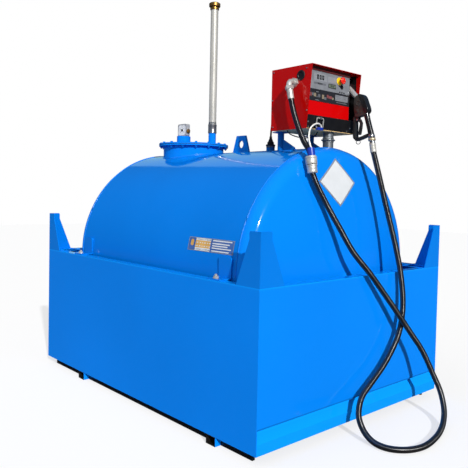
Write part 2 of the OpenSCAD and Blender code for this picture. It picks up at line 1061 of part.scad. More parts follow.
// Body, grip, guard and the trigger's two lugs with their pin
module nozzle_body() {
    lug_w = 4;
    lug_r = 7;
    inner = trigger_w + 2 * fit;
    color("#2a2a2c")
        difference() {
            union() {
                in_nozzle(nozzle_w)
                    polygon([
                        sill + [-36, 16], sill + [-26, 56], sill + [-26, 100],
                        sill + [-46, 115], sill + [-60, 117], sill + [-80, 106],
                        sill + [-106, 43], sill + [-99, 30], sill + [-92, 20],
                        sill + [-71, 18], sill + [-46, 13],
                    ]);
                grip();
                in_nozzle(guard_w)
                    polygon([
                        sill + [-30, 38], sill + [-25, 7], sill + [-29, -33],
                        sill + [-27, -64], sill + [-31, -90], sill + [-41, -97],
                        sill + [-68, -91], sill + [-100, -80], sill + [-112, -76],
                        sill + [-112, -67], sill + [-98, -71], sill + [-68, -81],
                        sill + [-46, -86], sill + [-39, -80], sill + [-35, -64],
                        sill + [-37, -33], sill + [-33, 7], sill + [-34, 38],
                    ]);
                for (side = [-1, 1])
                    along_x(lug_w, nozzle_x + side * (inner + lug_w) / 2) {
                        translate(pivot)
                            circle(lug_r);
                        translate(pivot - [lug_r, 0])
                            square([2 * lug_r, 18]);
                    }
                translate([nozzle_x, pivot[0], pivot[1]])
                    rotate([0, 90, 0])
                        cylinder(d = pin_d, h = inner + lug_w, center = true);
            }
            spout_line(spout_d / 2);
        }
}

module grip() {
    grip_l = norm(grip_top - grip_end);
    translate([nozzle_x, grip_end[0], grip_end[1]]) {
        rotate([-grip_turn, 0, 0])
            cylinder(d = grip_d, h = grip_l);
        sphere(d = ball_d);
    }
}

module trigger() {
    hub_d = 12;
    color("#303032")
        difference() {
            in_nozzle(trigger_w) {
                translate(pivot)
                    circle(d = hub_d);
                polygon([
                    pivot + [4, 4.5], pivot + [-16, 3], pivot + [-24, -14],
                    pivot + [-21, -38], pivot + [-17, -68], pivot + [-9, -68],
                    pivot + [-13, -36], pivot + [-16, -16], pivot + [-11, -5], pivot + [3, -5],
                ]);
            }
            translate([nozzle_x, pivot[0], pivot[1]])
                rotate([0, 90, 0])
                    cylinder(d = pin_d + 2 * fit, h = trigger_w + over, center = true);
        }
}

module hose_swivel() {
    color("silver")
        difference() {
            translate([nozzle_x, grip_end[0], grip_end[1]])
                rotate([180 - hose_turn, 0, 0]) {
                    translate([0, 0, ball_d / 4])
                        cylinder(d = swivel_d, h = swivel_h - ball_d / 4);
                    translate([0, 0, swivel_h])
                        cylinder(d = ferrule_d, h = swivel_l - swivel_h);
                }
            grip();
        }
}

// ---- Hoses ----

// From the cabinet's side out, round the bend and down to the hose
module outlet_elbow() {
    boss_d = 40;
    bend_r = 22;
    nut_d = 38;
    nut_h = 16;
    out = -elbow_at[0] - cab_w / 2;
    color("silver")
        translate(elbow_at)
            rotate([-elbow_turn, 0, 0]) {
                translate([out, 0, 0])
                    rotate([0, -90, 0]) {
                        cylinder(d = boss_d, h = 12, $fn = 6);
                        cylinder(d = hose_d, h = out - bend_r);
                    }
                translate([bend_r, 0, -bend_r])
                    rotate([90, 0, 0])
                        rotate([0, 0, 90])
                            rotate_extrude(angle = 90)
                                translate([bend_r, 0])
                                    circle(d = hose_d);
                translate([0, 0, -elbow_drop]) {
                    cylinder(d = ferrule_d, h = elbow_drop - bend_r);
                    translate([0, 0, elbow_drop - bend_r - nut_h])
                        cylinder(d = nut_d, h = nut_h, $fn = 6);
                }
            }
}

module inlet_hose() {
    color("#161618")
        swept(INLET_ROUTE, hose_d, 2, 12, elbow_dir, breakaway_dir);
}

// Upper and lower halves with the parting ring between them
module hose_coupling() {
    upper_l = 37;
    ring_l = 6;
    color("lightgray")
        translate(breakaway_top)
            rotate([180 - breakaway_turn, 0, 0]) {
                cylinder(d = breakaway_d, h = upper_l);
                translate([0, 0, upper_l])
                    cylinder(d = breakaway_low_d + 4, h = ring_l);
                translate([0, 0, upper_l + ring_l])
                    cylinder(d = breakaway_low_d, h = breakaway_l - upper_l - ring_l);
            }
}

// The rope's boot on the coupling, beside the hose that enters it
module rope_boot() {
    boot_d = 32;
    color("mediumblue")
        difference() {
            translate(breakaway_top)
                rotate([-breakaway_turn, 0, 0])
                    translate([boot_at[0], boot_at[1], 0])
                        cylinder(d = boot_d, h = boot_l);
            swept(INLET_ROUTE, hose_d + 2 * fit, 2, 12, elbow_dir, breakaway_dir);
        }
}

module delivery_hose() {
    color("#161618")
        swept(DELIVERY_ROUTE, hose_d, 2, 12, breakaway_dir, [0, sin(hose_turn), cos(hose_turn)]);
}

module rope() {
    color("whitesmoke")
        swept(ROPE_ROUTE, rope_d, 2, 8, -breakaway_dir, [0, sin(lean), -cos(lean)]);
}

// Outline w wide and h high with corners of radius r
module rounded(w, h, r) {
    translate([-w / 2 + r, 0])
        square([w - 2 * r, h]);
    translate([-w / 2, r])
        square([w, h - 2 * r]);
    for (x = [-w / 2 + r, w / 2 - r], y = [r, h - r])
        translate([x, y])
            circle(r);
}

// The ring's own space in the front's frame, grown by gap all round
module ring_space(gap) {
    corner_r = 10;
    translate([ring_x, 0, ring_z])
        along_y(ring_t + 2 * gap, -ring_gap - ring_t - gap)
            difference() {
                translate([0, -gap])
                    rounded(ring_w + 2 * gap, ring_h + 2 * gap, corner_r + gap);
                translate([0, ring_t + gap])
                    rounded(ring_w - 2 * ring_t - 2 * gap, ring_h - 2 * ring_t - 2 * gap, corner_r - ring_t);
            }
}

module rope_ring() {
    color("silver")
        on_front()
            ring_space(0);
}

// The staple on the lower panel in which the ring's top bar hangs
module ring_clip() {
    clip_w = 12;
    clip_h = 12;
    front_t = 3;
    color("silver")
        on_front()
            difference() {
                translate([
                    ring_x - clip_w / 2, -ring_gap - ring_t - front_t,
                    ring_z + ring_h - ring_t / 2 - clip_h / 2,
                ])
                    cube([clip_w, ring_gap + ring_t + front_t, clip_h]);
                ring_space(fit);
            }
}

// The clamp that holds the rope's end on the ring's lower bar
module rope_clamp() {
    clamp_h = 12;
    clamp_front = 17;
    color("mediumblue")
        on_front()
            difference() {
                translate([ring_x - clamp_w / 2, -clamp_front, clamp_top - clamp_h])
                    cube([clamp_w, clamp_front - ring_gap + 2, clamp_h]);
                ring_space(fit);
            }
}

module under_lead() {
    color("#101012")
        swept(LEAD_ROUTE, lead_d, 3, 8, [0, 0, -1], [0, 0, 1]);
}

bund_floor();
left_wall();
right_wall();
front_wall();
rear_wall();
front_left_post();
front_right_post();
rear_left_post();
rear_right_post();
left_rail();
right_rail();
front_foot();
rear_foot();
tank_shell();
front_head();
rear_head();
front_saddle();
rear_saddle();
left_brackets();
right_brackets();
manhole_neck();
manhole_cover();
gauge_stem();
level_gauge();
gauge_plug();
vent_stub();
vent_coupling();
vent_pipe();
vent_cap();
lifting_lug();
probe_socket();
probe_plug();
probe_cable();
cabinet_legs();
suction_pipe();
suction_union();
cabinet_hood();
cabinet_back();
cabinet_base();
front_panel();
instrument_panel();
lower_panel();
nozzle_bay();
under_lead();
stop_collar();
stop_button();
nozzle_body();
trigger();
spout();
hose_swivel();
outlet_elbow();
inlet_hose();
hose_coupling();
delivery_hose();
rope_boot();
rope();
rope_clamp();
rope_ring();
ring_clip();
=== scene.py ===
"""Looks of the diesel storage tank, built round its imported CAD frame.

Places are in metres, as in the frame. Every size given to a Kit is in millimetres.
"""
import bmesh
import bpy
from math import cos, pi, radians, sin, sqrt, tan
from mathutils import Matrix, Vector
from mathutils.kdtree import KDTree

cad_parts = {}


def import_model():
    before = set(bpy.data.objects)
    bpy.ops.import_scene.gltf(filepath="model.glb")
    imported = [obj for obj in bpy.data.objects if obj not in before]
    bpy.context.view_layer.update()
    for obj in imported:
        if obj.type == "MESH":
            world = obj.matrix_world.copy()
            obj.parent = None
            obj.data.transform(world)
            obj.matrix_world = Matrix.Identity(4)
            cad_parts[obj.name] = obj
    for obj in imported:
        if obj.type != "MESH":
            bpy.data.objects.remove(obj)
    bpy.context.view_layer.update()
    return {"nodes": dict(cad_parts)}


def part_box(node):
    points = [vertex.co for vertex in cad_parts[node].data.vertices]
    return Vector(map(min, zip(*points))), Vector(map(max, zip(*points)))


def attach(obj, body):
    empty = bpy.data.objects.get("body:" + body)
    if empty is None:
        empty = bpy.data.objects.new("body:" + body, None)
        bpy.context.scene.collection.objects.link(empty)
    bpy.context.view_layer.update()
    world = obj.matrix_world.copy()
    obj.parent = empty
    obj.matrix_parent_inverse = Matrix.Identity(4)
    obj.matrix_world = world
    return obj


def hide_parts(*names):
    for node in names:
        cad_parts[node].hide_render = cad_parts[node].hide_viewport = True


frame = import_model()
nodes = frame["nodes"]
scene = bpy.context.scene

MM = 0.001
RIGHT, BACK, UP = Vector((1, 0, 0)), Vector((0, 1, 0)), Vector((0, 0, 1))
LEFT, FRONT, DOWN = -RIGHT, -BACK, -UP


def srgb(r, g, b):
    """Linear colour of an 8-bit one."""
    def line(v):
        v /= 255
        return v / 12.92 if v <= 0.04045 else ((v + 0.055) / 1.055) ** 2.4
    return (line(r), line(g), line(b), 1.0)


def mid(node):
    lo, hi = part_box(node)
    return (lo + hi) / 2


def span(node):
    """Width, depth and height of a node in mm."""
    lo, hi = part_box(node)
    return (hi - lo) / MM


def face(node, way):
    """Middle of the side of a node's box that looks the given way."""
    lo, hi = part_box(node)
    return (lo + hi + (hi - lo) * way) / 2


def place(name, data):
    """A new object in the scene."""
    obj = bpy.data.objects.new(name, data)
    scene.collection.objects.link(obj)
    return obj


# ---- Camera ----

def camera():
    data = bpy.data.cameras.new("camera")
    data.sensor_width = 36
    data.lens = 45.93
    data.shift_x = -0.0207
    data.shift_y = -0.0382
    data.clip_end = 60
    eye = Vector((-2.1068, -2.4014, 0.9965))
    yaw, pitch, roll = radians(42.46), radians(-2.17), radians(1.25)
    ahead = Vector((sin(yaw) * cos(pitch), cos(yaw) * cos(pitch), sin(pitch)))
    level = Vector((cos(yaw), -sin(yaw), 0))
    upward = level.cross(ahead)
    axes = Matrix((level * cos(roll) + upward * sin(roll),
                   upward * cos(roll) - level * sin(roll), -ahead))
    scene.camera = place("camera", data)
    scene.camera.matrix_world = Matrix.Translation(eye) @ axes.transposed().to_4x4()


camera()


# ---- Mesh helpers ----

def basis(axis):
    w = Vector(axis).normalized()
    u = w.cross(RIGHT if abs(w.x) < 0.8 else BACK).normalized()
    return u, w.cross(u), w


def arc(x, y, r, start, end, n):
    """Points of an arc in an outline, its angles in degrees."""
    turns = [radians(start + (end - start) * k / n) for k in range(n + 1)]
    return [(x + r * cos(a), y + r * sin(a)) for a in turns]


def rounded(w, h, r, n=6, at=(0, 0)):
    """Outline of a rectangle with round corners, its middle at the point given."""
    dx, dy = w / 2 - r, h / 2 - r
    corners = ((dx, dy), (-dx, dy), (-dx, -dy), (dx, -dy))
    return [point for k, (x, y) in enumerate(corners)
            for point in arc(at[0] + x, at[1] + y, r, 90 * k, 90 * k + 90, n)]


def soften(outline, rounds=2):
    """Rounds an outline's corners by cutting them."""
    for _ in range(rounds):
        ends = list(zip(outline, outline[1:] + outline[:1]))
        outline = [(x * k + x2 * (1 - k), y * k + y2 * (1 - k))
                   for (x, y), (x2, y2) in ends for k in (0.75, 0.25)]
    return outline


def around(centre, u, v, n):
    """Points of an ellipse whose half axes are u and v."""
    turns = [2 * pi * k / n for k in range(n)]
    return [centre + u * cos(a) + v * sin(a) for a in turns]


def spoke(a, u=RIGHT, v=BACK):
    """Unit vectors outward at an angle from u towards v, and across that."""
    return u * cos(a) + v * sin(a), v * cos(a) - u * sin(a)


def hanging(lean):
    """Unit vector down that leans forward by so many degrees."""
    return FRONT * sin(radians(lean)) + DOWN * cos(radians(lean))


def between(start, end, n):
    """Points at equal steps from start to end."""
    return [start.lerp(end, k / n) for k in range(n + 1)]


def joined(rows, n, closed=False):
    """Faces between neighbouring rows of n points that each run round once."""
    return [[i * n + k, i * n + (k + 1) % n,
             (i + 1) % rows * n + (k + 1) % n, (i + 1) % rows * n + k]
            for i in range(rows if closed else rows - 1) for k in range(n)]


BARS = {"0": "abcdef", "1": "bc", "2": "abged", "3": "abgcd", "4": "fgbc"}


def rectangle(x, y, w, h):
    """Outline of a rectangle, its middle at the point given."""
    return [(x - w / 2, y - h / 2), (x + w / 2, y - h / 2),
            (x + w / 2, y + h / 2), (x - w / 2, y + h / 2)]


class Kit:
    """Collects shapes into one mesh, with a material index for each face."""

    def __init__(self):
        self.verts, self.faces, self.mats = [], [], []

    def add(self, verts, faces, mat=0):
        start = len(self.verts)
        self.verts += [Vector(v) for v in verts]
        self.faces += [[start + i for i in f] for f in faces]
        self.mats += [mat] * len(faces)

    def lathe(self, at, axis, profile, n, mat=0, turn=0.0):
        """Turns [(radius, height), ...] about the axis; a zero radius closes an end."""
        u, v, w = basis(axis)
        rings, verts = [], []
        for r, h in profile:
            count = n if r else 1
            rings.append([len(verts) + k for k in range(count)])
            turns = [2 * pi * k / n + turn for k in range(count)]
            verts += [at + (w * h + (u * cos(a) + v * sin(a)) * r) * MM for a in turns]
        faces = [end for end in (rings[0][::-1], rings[-1]) if len(end) > 1]
        pairs = [(k, (k + 1) % n) for k in range(n)]
        for a, b in zip(rings, rings[1:]):
            faces += [[a[k], a[j]] + ([b[j], b[k]] if len(b) > 1 else b) for k, j in pairs]
        self.add(verts, faces, mat)

    def ring(self, at, axis, profile, n):
        """Turns a closed outline [(radius, height), ...] about the axis."""
        u, v, w = basis(axis)
        verts = []
        for side in around(Vector(), u, v, n):
            verts += [at + (w * h + side * r) * MM for r, h in profile]
        self.add(verts, joined(n, len(profile), closed=True))

    def prism(self, outline, at, u, v, depth, mat=0):
        """Pushes an outline, drawn along u and v from at, along u x v by depth."""
        push = u.cross(v).normalized() * depth * MM
        base = [at + (u * x + v * y) * MM for x, y in outline]
        n = len(base)
        faces = [list(range(n))[::-1], list(range(n, 2 * n))] + joined(2, n)
        self.add(base + [p + push for p in base], faces, mat)

    def border(self, outer, inner, at, u, v, depth):
        """A flat frame between two outlines of as many points."""
        w = u.cross(v).normalized() * depth
        verts = [at + (u * x + v * y + w * k) * MM
                 for line, k in ((outer, 0), (outer, 1), (inner, 1), (inner, 0))
                 for x, y in line]
        self.add(verts, joined(4, len(outer), closed=True))

    def tube(self, line, radius, n):
        """A round tube on a line of points; radius is a number or one for each point."""
        last = len(line) - 1
        side, verts = None, []
        for i, p in enumerate(line):
            t = (line[min(i + 1, last)] - line[max(i - 1, 0)]).normalized()
            side = basis(t)[0] if side is None else (side - t * side.dot(t)).normalized()
            r = (radius[i] if isinstance(radius, list) else radius) * MM
            verts += around(p, side * r, t.cross(side) * r, n)
        ends = [list(range(n))[::-1], [last * n + k for k in range(n)]]
        self.add(verts, joined(last + 1, n) + ends)

    def loop(self, line, radius, n=8):
        """A closed tube through points that run round once."""
        verts = []
        for i, p in enumerate(line):
            t = (line[(i + 1) % len(line)] - line[i - 1]).normalized()
            side = t.cross(UP if abs(t.z) < 0.9 else RIGHT).normalized() * radius * MM
            verts += around(p, side, t.cross(side), n)
        self.add(verts, joined(len(line), n, closed=True))

    def skin(self, surface, cols, rows, pick):
        """A thin skin: surface(a, b) gives its points, pick(a, b) its material."""
        start, row = len(self.verts), cols + 1
        self.verts += [surface(i / cols, j / rows) for j in range(rows + 1) for i in range(row)]
        for j in range(rows):
            for i in range(cols):
                a = start + j * row + i
                self.faces.append([a, a + 1, a + row + 1, a + row])
                self.mats.append(pick((i + 0.5) / cols, (j + 0.5) / rows))

    def hexagon(self, at, axis, width, height, mat=0, turn=0.0):
        """A hex head with a chamfered top."""
        r = width / sqrt(3)
        profile = [(r, 0), (r, height * 0.85), (r * 0.88, height)]
        self.lathe(at, axis, profile, 6, mat, turn)

    def bolt(self, at, axis, washer, width, height, turn):
        """A hex head on a washer of the given profile."""
        self.lathe(at, axis, washer, 20)
        self.hexagon(at + axis * washer[-1][1] * MM, axis, width, height, 0, turn)

    def screw(self, at, axis, r, mat=0):
        """A low round head."""
        profile = [(1, 0), (1, 0.2), (0.85, 0.5), (0.45, 0.66), (0, 0.7)]
        self.lathe(at, axis, [(r * x, r * h) for x, h in profile], 16, mat)

    def figures(self, text, at, u, v, h, mat, thick=0.4, bold=0.17):
        """Plain seven-bar figures of height h, centred on the point, raised along u x v."""
        w, t = h * 0.60, h * bold
        edge, top = (w - t) / 2, (h - t) / 2
        bars = {"a": (0, top, w, t), "g": (0, 0, w, t), "d": (0, -top, w, t),
                "f": (-edge, h / 4, t, h / 2), "b": (edge, h / 4, t, h / 2),
                "e": (-edge, -h / 4, t, h / 2), "c": (edge, -h / 4, t, h / 2)}
        for k, figure in enumerate(text):
            shift = w * 1.45 * (k - (len(text) - 1) / 2)
            for bar in BARS[figure]:
                x, y, wide, high = bars[bar]
                self.prism(rectangle(shift + x, y, wide, high), at, u, v, thick, mat)

    def build(self, name, finish, replaces=None, body="tank", bevel=0.0, angle=40,
              segments=2):
        """Makes the piece, with a named finish for each material index, on its body."""
        mesh = bpy.data.meshes.new(name)
        mesh.from_pydata(self.verts, [], self.faces)
        for each in finish.split():
            mesh.materials.append(finishes[each])
        mesh.polygons.foreach_set("material_index", self.mats)
        bm = bmesh.new()
        bm.from_mesh(mesh)
        bmesh.ops.recalc_face_normals(bm, faces=bm.faces)
        if bevel:
            edges = [e for e in bm.edges
                     if len(e.link_faces) == 2 and e.calc_face_angle(0) > radians(30)]
            bmesh.ops.bevel(bm, geom=edges, offset=bevel * MM, segments=segments,
                            affect="EDGES", profile=0.6, clamp_overlap=True)
        bm.to_mesh(mesh)
        bm.free()
        mesh.polygons.foreach_set("use_smooth", [True] * len(mesh.polygons))
        mesh.set_sharp_from_angle(angle=radians(angle))
        piece = place(name, mesh)
        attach(piece, body)
        if replaces:
            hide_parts(replaces)
        return piece


def smooth_line(route, steps):
    """A Catmull-Rom curve through the route's points."""
    pts = [Vector(p) for p in route]
    line = []
    for i in range(len(pts) - 1):
        a, b = pts[max(i - 1, 0)], pts[i]
        c, d = pts[i + 1], pts[min(i + 2, len(pts) - 1)]
        for t in (s / steps for s in range(steps)):
            line.append(0.5 * (2 * b + (c - a) * t + (2 * a - 5 * b + 4 * c - d) * t * t
                               + (3 * b - a - 3 * c + d) * t * t * t))
    return line + [pts[-1]]


# ---- Materials ----

finishes = {}


class Graph:
    """A node tree, with short ways to make and join its nodes."""

    def __init__(self, tree, space):
        self.tree = tree
        self.coords = self.node("TexCoord").outputs[space]

    def feed(self, socket, value):
        """Links an output to the socket, or sets the socket's own value."""
        if hasattr(value, "is_linked"):
            self.tree.links.new(value, socket)
        elif value is not None:
            socket.default_value = value

    def node(self, kind, *inputs, **values):
        """A new node: inputs fill its first sockets, values its properties and named sockets."""
        n = self.tree.nodes.new("ShaderNode" + kind)
        for key, value in values.items():
            if hasattr(n, key):
                setattr(n, key, value)
            else:
                self.feed(n.inputs[key], value)
        for socket, value in zip(n.inputs, inputs):
            self.feed(socket, value)
        return n

    def stretched(self, scale):
        return self.node("Mapping", Vector=self.coords, Scale=scale).outputs[0]

    def noise(self, scale, detail=3.0, rough=0.55, where=None):
        return self.node("TexNoise", Vector=where or self.coords, Scale=scale,
                         Detail=detail, Roughness=rough).outputs["Fac"]

    def ramp(self, fac, *stops):
        """A ramp of (position, colour or grey) stops."""
        n = self.node("ValToRGB", fac)
        e = n.color_ramp.elements
        while len(e) < len(stops):
            e.new(0.5)
        for k, (position, color) in enumerate(stops):
            e[k].position = position
            e[k].color = (*color[:3], 1) if hasattr(color, "__len__") else (*[color] * 3, 1)
        return n.outputs["Color"]

    def mix(self, fac, a, b):
        """Colour from a to b: inputs 6 and 7 and output 2 are the node's colour sockets."""
        n = self.node("Mix", fac, data_type="RGBA")
        self.feed(n.inputs[6], a)
        self.feed(n.inputs[7], b)
        return n.outputs[2]

    def math(self, how, a, b):
        return self.node("Math", a, b, operation=how).outputs[0]

    def parts(self, vector):
        """X, Y and Z of a vector."""
        return self.node("SeparateXYZ", vector).outputs

    def choose(self, fac, a, b):
        return self.node("MixShader", fac, a, b).outputs[0]

    def bump(self, height, strength, distance, base=None):
        return self.node("Bump", Strength=strength, Distance=distance,
                         Height=height, Normal=base).outputs[0]


class Finish(Graph):
    """A material round one Principled shader, kept by name."""

    def __init__(self, name, color, rough, metal=0.0, **sockets):
        finishes[name] = self.mat = bpy.data.materials.new(name)
        self.mat.use_nodes = True
        self.mat.diffuse_color = color
        super().__init__(self.mat.node_tree, "Object")
        self.shader = self.tree.nodes["Principled BSDF"]
        self.set(Base_Color=color, Roughness=rough, Metallic=metal, **sockets)

    def set(self, **sockets):
        """Sets or links the shader's own sockets."""
        for key, value in sockets.items():
            self.feed(self.shader.inputs[key.replace("_", " ")], value)


def tint(color, k):
    return tuple(min(1.0, c * k) for c in color[:3]) + (1.0,)


def enamel(name, color, wave=1.0, rough=0.07, dust=0.05, shine=0.4, highlight_bands=None,
           shade_band=None, shaded_hollow_y=None):
    """Gloss paint on sheet metal: slow dents, faint orange peel, thin dust and streaks.
    Bands are (height, amount) stops between the plain colour and a brighter one, a painted
    highlight, and the groove band the same towards a darker one, a painted shade line. The
    hollow is the Y of the middle of a channel whose ends and inside are painted black, as
    painted shade."""
    g = Finish(name, color, rough, Specular_IOR_Level=shine)
    fine = g.noise(26)
    dull = g.ramp(g.noise(1.3, 1.5, 0.45), (0.35, 0), (0.65, 1))
    streak = g.ramp(g.noise(5.0, 3.0, 0.6, g.stretched((1, 1, 0.08))), (0.56, 0), (0.80, 1))
    speck = g.ramp(fine, (0.55, 0), (0.8, 1))
    col = g.mix(dull, tint(color, 0.96), tint(color, 1.04))
    col = g.mix(g.math("MULTIPLY", streak, dust * 1.6), col, tint(color, 0.72))
    col = g.mix(g.math("MULTIPLY", speck, dust), col, tint(color, 1.25))
    height = g.parts(g.coords)["Z"]
    # Painted highlight: the bands brighten the paint by height.
    if highlight_bands:
        col = g.mix(g.ramp(height, *highlight_bands), col, tint(color, 1.5))
    # Painted shade: a darker band by height.
    if shade_band:
        col = g.mix(g.ramp(height, *shade_band), col, tint(color, 0.5))
    # Painted shade: faces of a channel that don't look outward along Y go black.
    if shaded_hollow_y is not None:
        normal = g.node("NewGeometry").outputs["True Normal"]
        outward = g.math("MULTIPLY", g.parts(normal)["Y"],
                         g.math("SUBTRACT", g.parts(g.coords)["Y"], shaded_hollow_y))
        col = g.mix(g.ramp(outward, (0.002, 0), (0.006, 1)), srgb(26, 24, 24), col)
    dents = g.bump(g.noise(1.9, 1.0, 0.4), 0.30 * wave, 0.03)
    g.set(Base_Color=col, Roughness=g.ramp(fine, (0.25, rough * 0.7), (0.80, rough * 1.8)),
          Normal=g.bump(g.noise(300, 1.0, 0.4), 0.012, 0.001, dents))


def zinc(name, color, rough, metal, streaks):
    """Plated or galvanised steel with drawn streaks and a faint spangle."""
    g = Finish(name, color, rough, metal)
    line = g.noise(60, 4.0, 0.65, g.stretched(streaks))
    cell = g.node("TexVoronoi", Vector=g.coords, Scale=90.0).outputs["Distance"]
    col = g.mix(g.ramp(line, (0.3, 0), (0.7, 1)), tint(color, 0.78), tint(color, 1.12))
    g.set(Base_Color=g.mix(g.math("MULTIPLY", cell, 0.25), col, tint(color, 0.7)),
          Roughness=g.ramp(line, (0.2, rough * 0.75), (0.8, rough * 1.5)),
          Normal=g.bump(line, 0.12, 0.0006))


def rubber(name, color, rough, wrapped=""):
    """Black rubber. wrapped names the attribute that holds a hose's own direction: the fine
    cloth marks round a hose draw its gloss out along it."""
    g = Finish(name, color, rough, Specular_IOR_Level=1.0 if wrapped else 0.5)
    if wrapped:
        along = g.node("Attribute", attribute_name=wrapped)
        g.set(Anisotropic=1.0, Tangent=along.outputs["Vector"])
    slow = g.noise(14, 3.0, 0.5)
    g.set(Base_Color=g.mix(g.ramp(slow, (0.4, 0), (0.7, 1)), color, tint(color, 1.7)),
          Roughness=g.ramp(slow, (0.3, rough * 0.8), (0.75, rough * 1.35)),
          Normal=g.bump(g.noise(260, 3.0, 0.6), 0.10, 0.0006))


def moulded(name, color, rough, grain=300, depth=0.03, vary=0.12):
    """Moulded plastic with a fine grain and slightly worn high spots."""
    g = Finish(name, color, rough)
    slow = g.noise(22, 3.0, 0.6)
    g.set(Base_Color=g.mix(g.ramp(slow, (0.35, 0), (0.7, 1)), tint(color, 1 - vary),
                           tint(color, 1 + vary)),
          Roughness=g.ramp(slow, (0.3, rough * 0.85), (0.75, rough * 1.25)),
          Normal=g.bump(g.noise(grain, 2.0, 0.6), depth, 0.0004))


def weld_paint(name, color):
    """Gloss paint over the ripples of a weld bead."""
    g = Finish(name, tint(color, 0.9), 0.3, Specular_IOR_Level=0.4)
    slow = g.noise(14, 2.0, 0.5)
    ripples = g.bump(g.noise(170, 2.0, 0.5), 0.55, 0.0012)
    g.set(Base_Color=g.mix(slow, tint(color, 0.78), tint(color, 0.98)),
          Roughness=g.ramp(slow, (0.3, 0.24), (0.8, 0.36)),
          Normal=g.bump(g.noise(40, 2.0, 0.5), 0.4, 0.002, ripples))


BLUE = srgb(4, 126, 232)
# Painted highlight: a brighter line along the bund's rim fold, by height in metres.
RIM_HIGHLIGHT = [(0.648, 0), (0.6505, 0.75), (0.6525, 0.75), (0.655, 0)]
# Painted reflection: a brighter band on the lower fold of the end walls.
FOLD_REFLECTION = [(0.0, 0.7), (0.113, 0.75), (0.117, 1.0), (0.1225, 1.0), (0.1245, 0)]
# Painted shade: a darker line on the wall just above the fold.
FOLD_SHADE_LINE = [(0.0, 0), (0.1235, 0), (0.1255, 0.7), (0.1385, 0.7), (0.1405, 0)]
enamel("paint_blue", BLUE)
# Painted shade: a darker copy of the blue paint for the posts, brackets, lug and painted bolts.
enamel("paint_blue_thick_shaded", tint(BLUE, 0.84), 0.5, 0.10)
# Painted shade: a darker copy of the blue paint for the tank shell.
enamel("paint_blue_shell_shaded", tint(BLUE, 0.84))
# Painted shade: a much darker copy of the blue paint for the cabinet legs, probe socket and
# saddles.
enamel("paint_blue_leg_shaded", tint(BLUE, 0.55), 0.3, 0.12)
# Feet: a lighter copy of the blue paint, painted light, with the ends and insides painted black
# as painted shade.
for foot in ("front", "rear"):
    enamel("paint_foot_" + foot, tint(BLUE, 1.2), 0.3, 0.12, shaded_hollow_y=mid(foot + "_foot").y)
# The side walls carry the painted rim highlight; the end walls carry it too, with the painted
# fold reflection and shade line.
enamel("paint_blue_wall_rim_highlight", BLUE, highlight_bands=[(0.0, 0)] + RIM_HIGHLIGHT)
enamel("paint_blue_fold_lit_shaded", BLUE, highlight_bands=FOLD_REFLECTION + RIM_HIGHLIGHT, shade_band=FOLD_SHADE_LINE)
# Painted shade and painted light: one red paint as a darker copy for the hood and back and a
# brighter copy for the front panel.
enamel("paint_red", srgb(176, 6, 4), 0.35, 0.16, 0.03, 0.3)
enamel("paint_red_front", srgb(198, 2, 3), 0.25, 0.16, 0.02, 0.2)
weld_paint("paint_weld", BLUE)

DRAWN, EVEN = (1, 1, 0.05), (1, 1, 1)
METALS = {  # colour, roughness, metallic, streaks
    "plated_steel": (196, 197, 196, 0.26, 0.9, DRAWN),
    "pipe_zinc": (196, 194, 186, 0.36, 0.25, DRAWN),
    "suction_zinc": (128, 134, 138, 0.38, 0.7, DRAWN),
    "chrome": (226, 226, 224, 0.16, 0.6, EVEN),
    "cast_coupling": (206, 205, 200, 0.42, 0.55, EVEN),
    "brass_dull": (176, 132, 66, 0.34, 0.9, EVEN),
    "sheet_plain": (255, 208, 140, 0.5, 0.0, (1, 0.1, 1)),
    "cast_warm": (214, 196, 160, 0.36, 0.6, EVEN),
    "plate_rim": (150, 158, 168, 0.40, 0.3, EVEN),
}
PLASTICS = {  # colour, roughness, grain, depth of the grain, how much the colour varies
    "powder_black": (20, 20, 22, 0.38, 520, 0.10),
    "rail_black": (16, 15, 14, 0.5, 160, 0.25),
    "rope_white": (232, 232, 226, 0.30, 300, 0.05),
    "boot_blue": (22, 54, 160, 0.30, 300, 0.06),
    "nozzle_black": (34, 35, 37, 0.36, 620, 0.16),
    "nozzle_cast": (50, 46, 43, 0.40, 240, 0.30, 0.45),
    "nozzle_gloss": (26, 27, 29, 0.20, 500, 0.04),
    "gauge_grey": (150, 152, 156, 0.38, 400, 0.08),
    "white_face": (236, 237, 236, 0.35, 200, 0.02),
    "print_black": (18, 18, 20, 0.4, 300, 0.02),
    "film_grey": (124, 127, 133, 0.32),
    "film_light": (138, 141, 147, 0.34),
    "film_mid": (98, 101, 107, 0.34),
    "film_dark": (38, 38, 42, 0.32),
    "lcd_green": (110, 122, 106, 0.20, 300, 0.01),
    "digit_black": (24, 24, 26, 0.3, 300, 0.01),
    "key_rose": (124, 66, 68, 0.34),
    "key_tan": (136, 124, 104, 0.34),
    "button_red": (226, 34, 14, 0.26),
    "collar_yellow": (240, 200, 24, 0.30),
    "plate_blank": (206, 210, 214, 0.34, 220, 0.03, 0.03),
    "plate_amber": (206, 160, 84, 0.36, 220, 0.03),
    "plate_print": (120, 128, 138, 0.36, 220, 0.02),
    "plate_blue": (60, 96, 160, 0.34, 220, 0.03),
}
RUBBERS = {  # colour, roughness, attribute of a hose's direction
    "hose_black": (22, 20, 20, 0.33, "along"),
    "cable_black": (18, 18, 20, 0.40),
    # Painted shadow: the dark red of the strip under the cabinet hood's edge.
    "seal_red": (66, 9, 10, 0.6),
    "rubber_plain": (22, 22, 24, 0.5),
}
for make, table in ((zinc, METALS), (moulded, PLASTICS), (rubber, RUBBERS)):
    for name, (r, g, b, *rest) in table.items():
        make(name, srgb(r, g, b), *rest)

